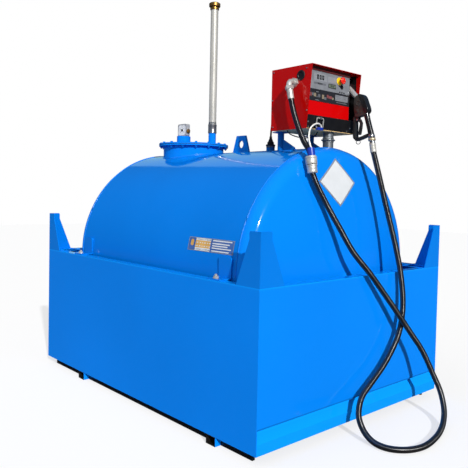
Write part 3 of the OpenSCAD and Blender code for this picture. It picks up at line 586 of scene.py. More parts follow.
LOOKS = {  # finish of each CAD node; the rest are paint_blue
    "paint_blue_shell_shaded": "tank_shell",
    "paint_blue_wall_rim_highlight": "left_wall right_wall",
    "paint_blue_fold_lit_shaded": "front_wall rear_wall",
    "paint_blue_thick_shaded": "front_left_post front_right_post rear_left_post rear_right_post "
                        "left_brackets right_brackets lifting_lug",
    "paint_blue_leg_shaded": "cabinet_legs probe_socket front_saddle rear_saddle",
    "paint_foot_front": "front_foot",
    "paint_foot_rear": "rear_foot",
    "paint_red": "cabinet_hood cabinet_back",
    "paint_red_front": "front_panel",
    "powder_black": "lower_panel nozzle_bay",
    "rail_black": "left_rail right_rail",
    "film_dark": "instrument_panel",
    "sheet_plain": "cabinet_base",
    "pipe_zinc": "vent_pipe",
    "suction_zinc": "suction_pipe suction_union",
    "plated_steel": "vent_coupling hose_swivel ring_clip",
    "cast_coupling": "hose_coupling rope_ring outlet_elbow",
    "chrome": "spout",
    "brass_dull": "gauge_plug vent_cap",
    "gauge_grey": "level_gauge",
    "cable_black": "probe_plug probe_cable under_lead",
    "hose_black": "inlet_hose delivery_hose",
    "boot_blue": "rope_boot rope_clamp",
    "rope_white": "rope",
    "nozzle_black": "nozzle_body trigger",
    "button_red": "stop_button",
    "collar_yellow": "stop_collar",
}
finish_of = {part: look for look, parts in LOOKS.items() for part in parts.split()}
for name, node in nodes.items():
    material = finishes[finish_of.get(name, "paint_blue")]
    if not node.data.materials:
        node.data.materials.append(material)
    for slot in node.material_slots:
        slot.material = material


# ---- Cabinet ----

def panel_face():
    """Overlay, windows, keys and figures, in mm from the panel's low left corner."""
    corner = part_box("instrument_panel")[0]
    kit = Kit()
    overlay, light, grey, black, lcd, rose, tan_key, metal, seal = range(9)

    def at(x, z, off=0.0):
        return corner + Vector((x, -off, z)) * MM

    def plate(x0, z0, x1, z1, mat, thick=0.5, r=1.5, off=0.0):
        outline = rounded(x1 - x0, z1 - z0, r, 4, ((x0 + x1) / 2, (z0 + z1) / 2))
        kit.prism(outline, at(0, 0, off), RIGHT, UP, thick, mat)

    plate(2, 52, 281, 130, overlay)
    plate(34, 90, 122, 121, light, 0.4, 2, 0.5)
    kit.figures("000", at(77, 105.5, 0.9), RIGHT, UP, 20, black, 0.4, 0.24)
    plate(128, 92, 182, 117, light, 0.3, 2, 0.5)
    plate(34, 73, 114, 82, grey, 0.4, 1, 0.5)
    kit.figures("000000", at(74, 77.5, 0.9), RIGHT, UP, 6, black)
    plate(132, 67, 184, 86, black, 0.4, 1.5, 0.5)
    plate(135, 70, 181, 83, lcd, 0.3, 1, 0.9)
    kit.figures("0000", at(158, 76.5, 1.2), RIGHT, UP, 8, black)
    kit.lathe(at(226, 82, 0.5), FRONT, [(10.5, 0), (10.5, 0.6), (9, 1.4), (0, 1.6)], 28, black)
    for x in (212, 227, 242):
        plate(x - 3.5, 54.5, x + 3.5, 60.5, black, 1, 1.2, 0.5)
    for x, z in ((6, 126), (276, 126), (6, 56), (276, 56)):
        kit.screw(at(x, z, 0.5), FRONT, 2.4, metal)
    plate(182, 17, 272, 43, overlay)
    for k, z in enumerate((36.5, 30, 23.5)):
        plate(188, z - 0.8, 262 - 12 * k, z + 0.8, grey, 0.2, 0.4, 0.5)
    plate(190, 9, 264, 10.5, light, 0.3, 0.5)
    for x0, z0, x1, z1, mat in (
            (8, 18, 22, 34, rose), (24, 22, 34, 34, grey), (36, 18, 50, 34, tan_key),
            (53, 16, 60, 22, grey), (64, 18, 78, 32, grey), (90, 14, 104, 32, tan_key),
            (106, 12, 120, 24, grey), (123, 22, 134, 36, rose), (136, 20, 158, 32, rose),
            (160, 18, 170, 28, tan_key)):
        plate(x0, z0, x1, z1, mat, 0.6, 2.2)
    plate(50, 40, 68, 42, light, 0.3, 0.8)
    plate(46, 4, 70, 6, light, 0.3, 0.8)
    # Painted shadow: a dark red strip along the top of the panel, under the hood's edge, stands
    # in for the hood's shadow.
    top = at(141.5, 0, -1.6)
    top.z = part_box("cabinet_hood")[1].z - 0.0118
    kit.prism(rounded(286, 17, 2, 3), top, RIGHT, UP, 2.6, seal)
    kit.build("panel_overlay", "film_grey film_light film_mid digit_black lcd_green key_rose "
              "key_tan plated_steel seal_red", angle=34)


def cabinet_screws():
    side = ((-0.667, 1.541), (-0.465, 1.421), (-0.673, 1.361), (-0.470, 1.545), (-0.470, 1.300))
    front = ((0.129, 1.308), (0.107, 1.2925), (-0.160, 1.2925), (-0.163, 1.313))
    back = [(x, z) for x in (-0.155, 0, 0.155) for z in (1.302, 1.540)]
    lo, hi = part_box("cabinet_hood")
    kit = Kit()
    for way, x in ((LEFT, lo.x), (RIGHT, hi.x)):
        for y, z in side:
            kit.screw(Vector((x, y, z)), way, 3.6)
    panel_lo, panel_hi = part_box("lower_panel")
    slope = tan(radians(5.7))
    for x, z in front:
        y = panel_lo.y + (panel_hi.z - z) * slope
        kit.screw(Vector((x, y, z)), FRONT + DOWN * slope, 3.4)
    for x, z in back:
        kit.screw(Vector((x, face("cabinet_back", BACK).y, z)), BACK, 3.6)
    kit.build("cabinet_screws", "plated_steel", angle=34)


def grommet():
    """Rubber plug in the hood's side, above the outlet elbow."""
    hole = Vector((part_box("cabinet_hood")[0].x, -0.636, 1.514))
    kit = Kit()
    rim = [(13, 0), (22, 0), (22.6, 1.2), (21.8, 3.4), (18, 4.4), (15, 4), (13.6, 2)]
    kit.ring(hole, LEFT, rim, 40)
    kit.lathe(hole, LEFT, [(13.6, 0), (13.6, 1.2), (6, 1.8), (0, 1.2)], 32)
    kit.build("grommets", "rubber_plain")


def bay_shade_sheet():
    """Dark sheet on the hood's wall beside the nozzle."""
    # Painted shade: the dark sheet stands in for the shade on the hood's inner wall.
    lo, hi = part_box("nozzle_bay")
    bay, wall = span("nozzle_bay"), face("nozzle_bay", RIGHT)
    kit = Kit()
    kit.prism(rounded(bay.y - 4, bay.z - 4, 4, 4), wall + LEFT * 0.0001, FRONT, UP, 1.2)
    for z in (lo.z + 0.02, hi.z - 0.02):
        kit.screw(Vector((hi.x - 0.0012, hi.y - 0.015, z)), LEFT, 3.2, 1)
    kit.build("bay_shade_sheet", "powder_black plated_steel")


def stop_head():
    """Mushroom head of the stop button, with three marks."""
    seat, button = face("stop_button", BACK), span("stop_button")
    r, d = button.x / 2, button.y
    kit = Kit()
    kit.lathe(seat, FRONT, [
        (7, 0), (7, d * 0.45), (9.5, d * 0.52), (r * 0.94, d * 0.56), (r, d * 0.64),
        (r, d * 0.78), (r * 0.93, d * 0.90), (r * 0.72, d * 0.97), (r * 0.40, d * 0.995),
        (0, d)], 40)
    front = face("stop_button", FRONT) + BACK * 0.0006
    for k in range(3):
        out, across = spoke(2 * pi * k / 3 + 0.4, RIGHT, UP)
        mark = [(-1.6, -0.8), (1.6, -0.8), (0, 1.6)]
        kit.prism(mark, front + out * r * 0.55 * MM, across, -out, 0.4, 1)
    kit.build("stop_head", "button_red white_face", "stop_button",
              body="stop_button", angle=50)


def stop_ring():
    """Collar round the stop button."""
    r = span("stop_collar").x / 2
    kit = Kit()
    kit.ring(face("stop_collar", BACK), FRONT, [
        (7.4, 0), (r * 0.97, 0), (r, 0.4), (r, 1.6), (r * 0.96, 2), (11.2, 2.2), (11, 7),
        (10.4, 8.8), (8, 9), (7.4, 8.4)], 40)
    kit.build("stop_ring", "collar_yellow", "stop_collar")


panel_face()
cabinet_screws()
grommet()
bay_shade_sheet()
stop_head()
stop_ring()


# ---- Nozzle ----

SILL = Vector((mid("nozzle_body").x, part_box("nozzle_body")[0].y + 0.1315,
               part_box("nozzle_body")[1].z - 0.117))


def at(y, z, off=0.0):
    """A place on the nozzle, in mm from the middle of the sill of its bay."""
    return SILL + Vector((off, y, z)) * MM


def slab(kit, outline, width, rounds=2):
    """A plate of the nozzle from its side outline, in mm from the sill."""
    outline = soften([(-y, z) for y, z in outline], rounds)
    kit.prism(outline, at(0, 0, width / 2), FRONT, UP, width)


GRIP_TOP, GRIP_END = at(-86, 34), at(-119, -71)


def nozzle_head():
    """Casting with its bosses, and the cover over its back."""
    body = Kit()
    slab(body, [(-36, 15), (-25, 54), (-26, 99), (-44, 115), (-60, 118), (-79, 108),
                (-96, 66), (-98, 30), (-92, 18), (-71, 16), (-46, 12)], 29)
    body.build("nozzle_casting", "nozzle_cast", "nozzle_body", bevel=3.5,
               segments=3, angle=50)

    bosses = Kit()
    for way, off in ((LEFT, -14), (RIGHT, 14)):
        bosses.lathe(at(-52, 76, off), way, [
            (15, 0), (15, 0.6), (13.8, 1.6), (10, 1.8), (9.2, 1.2), (0, 1.2)], 36)
        bosses.lathe(at(-48, 38, off), way, [(10, 0), (10, 0.8), (8.8, 1.8), (0, 2)], 28)
        bosses.screw(at(-72, 32, off) + way * 0.0004, way, 3.2)
    bosses.ring(at(-42, 108), BACK * 0.62 + UP * 0.785, [
        (10.5, -6), (14.8, -6), (15.2, -3), (15.2, 1), (14.2, 3), (12, 3.6)], 32)
    bosses.build("nozzle_bosses", "nozzle_cast")

    cover = Kit()
    slab(cover, [(-50, 113), (-60, 118), (-81, 107), (-94, 76), (-107, 44), (-104, 31),
                 (-94, 24), (-86, 30), (-70, 74)], 32)
    cover.build("nozzle_cover", "nozzle_gloss", bevel=4.5, segments=4,
                angle=60)


def nozzle_handle():
    """Grip, guard, trigger lugs and the wire loop under the guard."""
    grip = Kit()
    radii = [15, 14.2, 13.4, 13, 12.8] + [12.7] * 5 + [12.8, 12.9, 13, 13.1, 13]
    grip.tube(between(GRIP_TOP, GRIP_END, len(radii) - 1), radii, 28)
    along = (GRIP_END - GRIP_TOP).normalized()
    for k in range(4):
        grip.ring(GRIP_END - along * (4 + 4.2 * k) * MM, along,
                  [(12, -1.4), (13.6, -1), (13.6, 1), (12, 1.4)], 28)
    grip.build("nozzle_grip", "nozzle_gloss")

    guard = Kit()
    slab(guard, [(-30, 38), (-25, 7), (-29, -33), (-27, -64), (-31, -90), (-41, -97),
                 (-68, -91), (-100, -80), (-112, -76), (-112, -63), (-98, -66), (-68, -76),
                 (-46, -80), (-39, -75), (-35, -60), (-37, -33), (-33, 7), (-34, 38)], 16, 1)
    slab(guard, [(-24, 14), (-26, -33), (-25, -78), (-34, -90), (-40, -84), (-37, -62),
                 (-37, -33), (-34, 14)], 28)
    guard.build("nozzle_guard", "nozzle_black", bevel=1.5, angle=50)

    lugs = Kit()
    lug = arc(44, 0, 7.5, 180, 360, 9) + [(52.5, 18), (35.5, 18)]
    lugs.prism(lug, at(0, 0, -5.3), FRONT, UP, 4)
    lugs.prism(lug, at(0, 0, 9.3), FRONT, UP, 4)
    lugs.lathe(at(-44, 0, -11.5), RIGHT, [(2.5, 0), (2.5, 23)], 16, 1)
    for way, off in ((LEFT, -9.3), (RIGHT, 9.3)):
        lugs.lathe(at(-44, 0, off), way, [(4.5, 0), (4.5, 1.2), (3, 2), (0, 2)], 16, 1)
    lugs.build("nozzle_lugs", "nozzle_black plated_steel", angle=50)

    wire = Kit()
    wire.loop(around(at(-48, -101), BACK * 0.0115, UP * 0.0085, 24), 1.5)
    wire.build("nozzle_loop", "rail_black", angle=60)


def swivel():
    """Nut, collar and sleeve between the grip and the delivery hose."""
    kit = Kit()
    nut, collar, neck, sleeve = 0, 1, 0, 2
    for profile, n, mat in (
            ([(12, -1), (14.8, 0), (15.5, 1.5), (15.5, 14.5), (14.6, 16)], 12, nut),
            ([(13.8, 15.5), (16, 17), (16.8, 19), (16.8, 25), (16, 27), (13.6, 28)], 36,
             collar),
            ([(11.8, 27.5), (11.2, 30), (12.2, 34), (13.4, 37.5), (13.4, 40)], 32, neck),
            ([(13.4, 39.5), (14, 40.5), (14, 52), (13.5, 52.8), (13.5, 54.8), (14, 55.6),
              (14, 64), (13.5, 64.8), (13.5, 66.8), (14, 67.6), (14, 79.5), (13.2, 81)], 36,
             sleeve)):
        kit.lathe(GRIP_END, hanging(10.4), profile, n, mat)
    kit.build("swivel", "plated_steel cast_warm pipe_zinc", "hose_swivel",
              angle=38)


def trigger():
    lever = Kit()
    slab(lever, arc(-44, 0, 6, 50, -50, 5) + [
        (-52, -6), (-57, -17), (-53, -36), (-49, -64), (-51, -68), (-60, -68), (-62, -65),
        (-67, -38), (-69, -14), (-60, 3)], 10, 0)
    lever.build("trigger_lever", "nozzle_black", "trigger", body="trigger",
                bevel=1.4, segments=3, angle=50)


nozzle_head()
nozzle_handle()
swivel()
trigger()


# ---- Coupling and hoses ----

DELIVERY = [
    (-0.2220, -0.7593, 1.0860), (-0.205, -0.770, 1.040), (-0.165, -0.790, 0.960),
    (-0.120, -0.828, 0.860), (-0.075, -0.868, 0.760), (0.000, -0.900, 0.670),
    (0.075, -0.914, 0.590), (0.165, -0.932, 0.490), (0.245, -0.955, 0.390),
    (0.310, -0.980, 0.300), (0.350, -1.010, 0.200), (0.360, -1.045, 0.125),
    (0.335, -1.080, 0.060), (0.275, -1.112, 0.025), (0.190, -1.145, 0.015),
    (0.100, -1.170, 0.014), (0.010, -1.182, 0.014), (-0.060, -1.168, 0.014),
    (-0.110, -1.130, 0.014), (-0.132, -1.080, 0.015), (-0.130, -1.025, 0.022),
    (-0.120, -0.975, 0.050), (-0.110, -0.945, 0.100), (-0.065, -0.926, 0.155),
    (0.010, -0.919, 0.200), (0.095, -0.917, 0.255), (0.165, -0.916, 0.320),
    (0.215, -0.916, 0.390), (0.238, -0.915, 0.470), (0.244, -0.910, 0.550),
    (0.240, -0.898, 0.650), (0.232, -0.880, 0.745), (0.217, -0.858, 0.850),
    (0.194, -0.835, 0.970), (0.169, -0.820, 1.075), (0.135, -0.8056, 1.1933),
]
INLET = [
    (-0.2150, -0.6199, 1.4080), (-0.215, -0.640, 1.345), (-0.214, -0.668, 1.280),
    (-0.214, -0.700, 1.222), (-0.217, -0.730, 1.188), (-0.222, -0.747, 1.158),
]


def breakaway():
    """The coupling between the two hoses, in line with the end of the inlet hose."""
    top = Vector((mid("hose_coupling").x, *INLET[-1][1:]))
    axis = hanging(9.7)
    kit = Kit()
    metal, seal, steel = range(3)
    for profile, n, mat in (
            ([(13, 0), (21.5, 0), (23.5, 1.2), (24.5, 4), (24.5, 10), (23.8, 11.2),
              (23.8, 12.8), (24.5, 14), (24.5, 33), (23.6, 35), (20, 36)], 48, metal),
            ([(19, 35), (19, 38.5)], 40, seal),
            ([(20, 37.5), (22.6, 38.2), (23.2, 39.5), (23.2, 42), (22.4, 43), (20.6, 43.6)],
             48, metal),
            ([(20.6, 43), (21.2, 44.5), (21.2, 56), (20.6, 57.5), (20.6, 59), (21.2, 60),
              (21.2, 69), (20, 71.5), (16.5, 73), (13, 73)], 48, metal)):
        kit.lathe(top, axis, profile, n, mat)
    kit.hexagon(top + axis * 0.020 + RIGHT * 0.0236, RIGHT, 3.84, 1.488, steel)
    return kit.build("breakaway", "cast_coupling rubber_plain plated_steel",
                     "hose_coupling", angle=38)


def hose(name, route, node):
    """A hose that knows its own direction."""
    line = smooth_line(route, 8)
    kit = Kit()
    kit.tube(line, 12.4, 24)  # 0.1 mm inside its CAD solid
    piece = kit.build(name, "hose_black", node, angle=34)
    tree = KDTree(len(line))
    for k, point in enumerate(line):
        tree.insert(point, k)
    tree.balance()
    along = piece.data.attributes.new("along", "FLOAT_VECTOR", "POINT")
    for vert in piece.data.vertices:
        k = min(max(tree.find(vert.co)[1], 1), len(line) - 2)
        along.data[vert.index].vector = (line[k + 1] - line[k - 1]).normalized()


coupling = breakaway()
hose("hose_delivery", DELIVERY, "delivery_hose")
hose("hose_inlet", INLET, "inlet_hose")


# ---- Manhole, gauge and vent ----

def manhole():
    """Bolts and gasket of the manhole; the vent stub leaves no room for some heads."""
    centre, r = mid("manhole_cover"), span("manhole_cover").x / 2
    cover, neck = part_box("manhole_cover")[1].z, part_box("manhole_neck")[1].z
    stub, stub_lo, stub_hi = mid("vent_stub"), *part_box("vent_stub")
    washer = [(8.8, 0), (8.8, 1), (8.2, 1.4)]
    n, circle, flange = 16, (r - 13) * MM, 0.008
    kit = Kit()
    for k in range(n):
        turn = k * 1.3
        p = centre + spoke(2 * pi * (k + 0.5) / n)[0] * circle
        p.z = cover
        near_stub = stub_lo.y - 0.03 < p.y < stub_hi.y + 0.006 and abs(p.x - stub.x) < 0.045
        if not near_stub:
            kit.bolt(p, UP, washer, 13, 5.2, turn)
        p.z = neck - flange
        kit.bolt(p, DOWN, washer, 13, 6.6, turn + 0.5)
        kit.lathe(p + DOWN * 0.0075, DOWN, [(3.8, 0), (3.8, 3.6), (3, 4.6)], 12)
    kit.build("flange_bolts", "paint_blue_thick_shaded", angle=30)

    kit = Kit()
    centre.z = neck
    kit.ring(centre, UP, [
        (r - 4, -1.2), (r + 0.6, -1.2), (r + 0.9, 0), (r + 0.6, 1.2), (r - 4, 1.2)], 96)
    kit.build("flange_gasket", "rubber_plain", angle=50)


def gauge_case():
    back = face("level_gauge", RIGHT)
    d, w, h = span("level_gauge")
    kit = Kit()
    outline = rounded(w, h, 9)
    kit.prism(outline, back, FRONT, UP, d * 0.84)
    kit.prism(rounded(w * 0.94, h * 0.94, 8), back + LEFT * d * 0.80 * MM, FRONT, UP, d * 0.08)
    kit.border(outline, rounded(w * 0.86, h * 0.86, 6), back + LEFT * d * 0.87 * MM, FRONT, UP,
               d * 0.13)
    kit.build("gauge_case", "gauge_grey", "level_gauge", bevel=1.2, angle=50)


def gauge_dial():
    """Dial, needle and corner screws of the gauge, which faces left."""
    d, w, h = span("level_gauge")
    kit = Kit()
    white, black, steel = range(3)
    dial = face("level_gauge", LEFT) + RIGHT * d * 0.07 * MM
    kit.prism(rounded(w * 0.84, h * 0.84, 5), dial, FRONT, UP, 0.9, white)
    dial += LEFT * 0.0009

    start, sweep, steps, needle = -40, 260, 24, 148
    for k in range(steps + 1):
        inner, half = (21, 0.6) if k % 6 == 0 else (23.5, 0.3)
        tick = [(inner, -half), (26.2, -half), (26.2, half), (inner, half)]
        a = radians(start + sweep * k / steps)
        kit.prism(tick, dial, *spoke(a, FRONT, UP), 0.3, black)
    for k, text in enumerate("43210"):
        out = spoke(radians(start + sweep * k / 4), FRONT, UP)[0]
        kit.figures(text, dial + out * 0.0165, FRONT, UP, 5.8, black, 0.3)
    kit.lathe(dial, LEFT, [(8.5, 0), (8.5, 0.4), (7.5, 1), (0, 1.2)], 28, black)
    kit.prism([(-6, -1.2), (21, -0.3), (21, 0.3), (-6, 1.2)], dial + LEFT * 0.001,
              *spoke(radians(needle), FRONT, UP), 0.3, black)
    for y in (-w, w):
        for z in (-h, h):
            kit.screw(dial + (BACK * y + UP * z) * 0.36 * MM, LEFT, 2.6, steel)
    kit.build("gauge_dial", "white_face print_black plated_steel")


def gauge_plug():
    plug, r = face("gauge_plug", BACK), span("gauge_plug").x / 2
    kit = Kit()
    kit.lathe(plug, FRONT, [(r * 0.86, 0), (r * 0.86, 2), (r, 3), (r, 6.8), (r * 0.92, 7.6)], 6)
    kit.lathe(plug + FRONT * 0.0076, FRONT, [(r * 0.62, 0), (r * 0.60, 1.8), (r * 0.45, 2.4)],
              20)
    kit.build("plug_brass", "brass_dull", "gauge_plug", angle=30)


def vent_socket():
    """Socket of the vent pipe, and the thread that shows above it."""
    low, socket = face("vent_coupling", DOWN), span("vent_coupling")
    r, h, pipe = socket.x / 2, socket.z, span("vent_pipe").x / 2
    kit = Kit()
    kit.lathe(low, UP, [
        (pipe - 1, 0), (r * 0.96, 0), (r, 1.5), (r, 10), (r * 0.975, 12),
        (r * 0.975, h - 12), (r, h - 10), (r, h - 1.5), (r * 0.96, h), (pipe - 1, h)], 48)
    kit.build("vent_socket", "plated_steel", "vent_coupling", angle=30)

    kit = Kit()
    turns, steps, pitch = 5, 24, 0.0022
    circle = around(face("vent_coupling", UP), RIGHT * pipe * MM, BACK * pipe * MM, steps)
    kit.tube([circle[k % steps] + UP * (0.0012 + pitch * k / steps)
              for k in range(turns * steps + 1)], 0.9, 6)
    kit.build("vent_thread", "suction_zinc", angle=60)


def vent_cap():
    """Brass cap with slots round its neck."""
    low, cap = face("vent_cap", DOWN), span("vent_cap")
    r, neck = cap.x / 2, 25
    kit = Kit()
    kit.lathe(low, UP, [(23.5, 0), (neck, 1.5), (neck, 13.5), (22.5, 15), (22.5, 17.5)], 40)
    kit.lathe(low, UP, [
        (22.5, 17.5), (r * 0.97, 18), (r, 19.5), (r, 23.5), (r * 0.965, 24.5),
        (r * 0.965, 26), (r, 27), (r, 34.5), (r * 0.97, 36.2), (r * 0.74, 40.5),
        (r * 0.45, 43), (0, cap.z)], 48)
    for k in range(12):
        out, across = spoke(2 * pi * k / 12)
        slot = low + (UP * 14.6 + out * neck * 0.86) * MM
        kit.prism(rectangle(0, 1.2, 4.4, 2.4), slot, across, UP, 3.5, 1)
    kit.build("cap_brass", "brass_dull print_black", "vent_cap", angle=32)


manhole()
gauge_case()
gauge_dial()
gauge_plug()
vent_socket()
vent_cap()


# ---- Union and probe ----

def union():
    """Two octagons of the suction union with a screwed flange between them."""
    low, r = face("suction_union", DOWN), span("suction_union").x / 2
    kit = Kit()
    for profile, n, turn in (
            ([(r * 0.78, 0), (r * 0.84, 0.6), (r * 0.84, 6.6), (r * 0.80, 7.4)], 8, pi / 8),
            ([(r * 0.80, 7.4), (r * 0.97, 8), (r * 0.985, 9), (r * 0.985, 12), (r * 0.97, 13),
              (r * 0.80, 13.6)], 40, 0),
            ([(r * 0.80, 13.6), (r * 0.84, 14.4), (r * 0.84, 21.2), (r * 0.78, 22)], 8,
             pi / 8)):
        kit.lathe(low, UP, profile, n, 0, turn)
    for k in range(6):
        out = spoke(2 * pi * k / 6 + 0.35)[0]
        kit.lathe(low + (UP * 13 + out * r * 0.90) * MM, UP, [(2.2, 0), (2.2, 1), (1.4, 1.6)], 10)
    kit.build("union_nut", "suction_zinc", "suction_union", bevel=0.4,
              angle=30)


def probe():
    """Plug of the level probe, and the nut under it."""
    low, plug = face("probe_plug", DOWN), span("probe_plug")
    r, h = plug.x / 2, plug.z
    kit = Kit()
    for profile, n in (
            ([(r * 0.90, 0), (r * 0.99, 0.8), (r, 2), (r, 6.2), (r * 0.97, 7.2),
              (r * 0.70, 7.8)], 40),
            ([(r * 0.70, 7.6), (r * 0.72, 8.6), (r * 0.72, 18), (r * 0.66, 19.6)], 20),
            ([(r * 0.60, 19.4), (r * 0.56, 22), (r * 0.34, 35), (r * 0.30, 37)], 32),
            ([(r * 0.27, 36.5), (r * 0.27, h - 2), (r * 0.24, h)], 28)):
        kit.lathe(low, UP, profile, n)
    for k in range(3):
        kit.ring(low + UP * (38.5 + 3 * k) * MM, UP,
                 [(r * 0.2, -0.8), (r * 0.31, -0.6), (r * 0.31, 0.6), (r * 0.2, 0.8)], 28)
    kit.build("probe_connector", "rubber_plain", "probe_plug")

    kit = Kit()
    low.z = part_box("probe_socket")[1].z - 0.0075
    kit.hexagon(low, UP, 43, 7, 0, 0.3)
    kit.build("probe_nut", "suction_zinc", bevel=0.4, angle=30)


union()
probe()


# ---- Welds ----

SHELL_R, SHELL_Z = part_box("front_head")[1].x, mid("front_head").z


def on_tank(x, y, lift=0.0):
    """The point on top of the shell, or lift above it, at x and y."""
    return Vector((x, y, SHELL_Z + sqrt(SHELL_R ** 2 - x * x) + lift))


def tank_welds():
    """Beads round the heads, neck, lug, sockets and cabinet legs."""
    kit = Kit()
    for way in (FRONT, BACK):
        end = Vector((0, face("tank_shell", way).y, SHELL_Z))
        r = SHELL_R + 0.0004
        kit.loop(around(end, RIGHT * r, UP * r, 180), 2.4)
    neck, neck_r = Vector((0, mid("manhole_neck").y, 0)), 0.172
    foot = around(neck, RIGHT * neck_r, BACK * neck_r, 120)
    kit.loop([on_tank(p.x, p.y, 0.001) for p in foot], 3.6)
    lo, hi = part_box("lifting_lug")
    for x in (lo.x, hi.x):
        z = lo.z + 0.0006
        kit.tube(between(Vector((x, lo.y, z)), Vector((x, hi.y, z)), 24), 3.2, 8)
    shell_top, cover_top = SHELL_Z + SHELL_R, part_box("manhole_cover")[1].z
    for node, z, radius in (("probe_socket", shell_top, 2.4),
                            ("suction_pipe", shell_top - 0.0004, 3.0),
                            ("vent_stub", cover_top, 2.6)):
        centre, r = mid(node), span(node).x / 2 * MM
        centre.z = z
        kit.loop(around(centre, RIGHT * r, BACK * r, 48), radius)
    lo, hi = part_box("cabinet_legs")
    for edge, inward in ((lo.x, 0.036), (hi.x, -0.036)):
        for x in (edge, edge + inward):
            kit.tube(between(on_tank(x, lo.y, 0.0006), on_tank(x, hi.y, 0.0006), 10), 2.6, 8)
    kit.build("weld_beads", "paint_weld", angle=80)


def post_welds():
    """Beads along both inner edges of each corner post's foot."""
    kit = Kit()
    for side in ("left", "right"):
        for part in ("front", "rear"):
            lo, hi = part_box("%s_%s_post" % (part, side))
            corner = Vector((hi.x if side == "left" else lo.x,
                             hi.y if part == "front" else lo.y, lo.z + 0.0005))
            reach = (lo + hi - corner * 2) * 0.96
            for end in (BACK * reach.y, RIGHT * reach.x):
                kit.tube(between(corner, corner + end, 6), 2.2, 8)
    kit.build("post_welds", "paint_weld", angle=80)


def bracket_bolts():
    """An M12 bolt with its end showing, at each end of both rows of brackets."""
    reach, inset, plate_top, head_top = 0.600, 0.040, 0.6605, 0.6700
    washer, thread = [(12.6, 0), (12.6, 1.728), (12, 2.16)], [(5.2, 0), (5.2, 6), (4.4, 7)]
    lo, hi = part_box("left_brackets")
    kit = Kit()
    for x in (-reach, reach):
        for y in (lo.y + inset, hi.y - inset):
            kit.bolt(Vector((x, y, plate_top)), UP, washer, 19.2, 7.44, 0.4)
            kit.lathe(Vector((x, y, head_top)), UP, thread, 14)
    kit.build("bracket_bolts", "cast_coupling", angle=30)


tank_welds()
post_welds()
bracket_bolts()


# ---- Blank plates ----

def diamond():
    """A blank diamond plate on the dished front head."""
    dish_r, thick, n = 2.0, 0.0012, 24
    nose = face("front_head", FRONT).y
    top, left = Vector((-0.030, 0, 1.160)), Vector((-0.155, 0, 1.055))
    low, right = Vector((-0.036, 0, 0.949)), Vector((0.085, 0, 1.055))

    def on_head(a, b, lift=thick):
        p = top.lerp(right, a).lerp(left.lerp(low, a), b)
        off_axis = p.x ** 2 + (p.z - SHELL_Z) ** 2
        p.y = nose + dish_r - sqrt((dish_r + lift) ** 2 - off_axis)
        return p

    kit = Kit()
    kit.skin(on_head, n, n, lambda a, b: 0 if min(a, b, 1 - a, 1 - b) < 0.045 else 1)
    rim = [(k / n, 0) for k in range(n)] + [(1, k / n) for k in range(n)]
    rim += [(1 - a, 1 - b) for a, b in rim]
    kit.add([on_head(a, b, 0) for a, b in rim] + [on_head(a, b) for a, b in rim],
            joined(2, len(rim)))
    kit.build("blank_diamond", "plate_rim plate_blank", angle=50)


def data_plate():
    """A data plate with plain rules and bars on the left of the shell."""
    front, rear, low, high, lift = -0.633, -0.338, 0.750, 0.806, 0.0009
    rim, blank, amber, dark, blue = range(5)

    def on_shell(a, b):
        z = low + (high - low) * b
        x = -sqrt((SHELL_R + lift) ** 2 - (z - SHELL_Z) ** 2)
        return Vector((x, rear + (front - rear) * a, z))

    def look(a, b):
        if a < 0.015 or a > 0.985 or b < 0.05 or b > 0.95:
            return rim
        if a < 0.16:
            return amber if ((a - 0.085) / 0.04) ** 2 + ((b - 0.60) / 0.25) ** 2 < 1 else blue
        if a < 0.50:
            if b > 0.78 or b < 0.24:
                ruled = 0.82 < b < 0.92 or 0.10 < b < 0.18
                return dark if int(a * 70) % 2 and ruled else blank
            return blank if int(a * 36) % 2 and int(b * 12) % 3 == 1 else amber
        row = int(b * 11)
        return blank if row % 2 and 0.54 < a < 0.95 - 0.04 * (row % 3) else blue

    kit = Kit()
    kit.skin(on_shell, 100, 24, look)
    kit.build("data_plate", "plate_rim plate_blank plate_amber plate_print plate_blue",
              angle=60)


diamond()
data_plate()


# ---- Floor, world and lamp ----

WHITE = (1, 1, 1, 1)


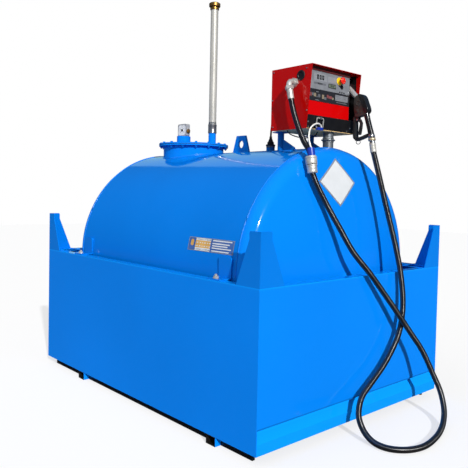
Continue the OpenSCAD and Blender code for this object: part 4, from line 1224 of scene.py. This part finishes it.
def floor():
    """A pale floor: the camera sees it near white, and it keeps the shadow."""
    mesh = bpy.data.meshes.new("floor")
    size = 28.0
    mesh.from_pydata([(x, y, -0.001) for x, y in rectangle(0, 0, size, size)], [],
                     [[0, 1, 2, 3]])
    g = Finish("floor_pale", (0.36, 0.36, 0.36, 1), 0.8, Specular_IOR_Level=0.1)
    path = g.node("LightPath").outputs
    seen = path["Is Camera Ray"]
    cloudy = g.mix(g.noise(0.8, 2.0), (0.34, 0.34, 0.34, 1), (0.37, 0.37, 0.37, 1))
    g.set(Base_Color=g.mix(seen, cloudy, (0.98, 0.98, 0.98, 1)))
    glow = g.node("Emission", WHITE).outputs[0]
    dim = g.node("Emission", (0.012, 0.02, 0.035, 1)).outputs[0]
    shown = g.choose(g.math("MULTIPLY", seen, 0.64), g.shader.outputs[0], glow)
    shown = g.choose(g.math("MULTIPLY", path["Is Glossy Ray"], 0.9), shown, dim)
    g.feed(g.tree.nodes["Material Output"].inputs["Surface"], shown)
    mesh.materials.append(g.mat)
    place("floor", mesh)


def world():
    """White to the camera, a soft sky that is brighter from the left for the light, and for
    gloss a dusk blue sky with a pale part low behind the object."""
    scene.world = bpy.data.worlds.new("studio")
    scene.world.use_nodes = True
    scene.world.node_tree.nodes.clear()
    g = Graph(scene.world.node_tree, "Generated")
    x, y, z = g.parts(g.coords)

    def glow(color):
        return g.node("Background", color).outputs[0]

    soft = g.ramp(z, (0.0, (0.34, 0.36, 0.40)), (0.9, (0.72, 0.73, 0.75)))
    aim = g.node("VectorMath", g.coords, (-0.97, 0.24, 0.0),
                 operation="DOT_PRODUCT").outputs["Value"]
    half = g.node("Math", aim, 0.5, 0.5, operation="MULTIPLY_ADD").outputs[0]
    side = g.ramp(half, (0.35, 0.30), (0.90, 1.55))
    soft = g.node("VectorMath", soft, side, operation="MULTIPLY").outputs[0]

    across = g.ramp(x, (0.29, 0), (0.31, 1), (0.60, 1), (0.66, 0))
    behind = g.ramp(y, (0.30, 0), (0.40, 1))
    low = g.ramp(z, (0.01, 0), (0.05, 1), (0.74, 1), (0.80, 0))
    band = g.math("MULTIPLY", g.math("MULTIPLY", across, behind), low)
    dusk = g.ramp(z, (0.0, (0.02, 0.04, 0.09)), (0.5, (0.04, 0.09, 0.18)),
                  (1.0, (0.08, 0.16, 0.30)))
    gloss = g.choose(band, glow(dusk), glow((0.34, 0.62, 0.66, 1)))
    path = g.node("LightPath").outputs
    light = g.choose(path["Is Glossy Ray"], glow(soft), gloss)
    g.node("OutputWorld", g.choose(path["Is Camera Ray"], light, glow(WHITE)))


def sun():
    data = bpy.data.lights.new("key", "SUN")
    data.energy = 3.8
    data.color = (1.0, 0.985, 0.96)
    data.angle = radians(1.2)
    lamp = place("key", data)
    lamp.location = (-1.36, -3.32, 2.36)
    aim = Vector((0, 0, 0.6)) - lamp.location
    lamp.rotation_euler = aim.to_track_quat("-Z", "Y").to_euler()


floor()
world()
sun()
scene.view_settings.view_transform = "Standard"
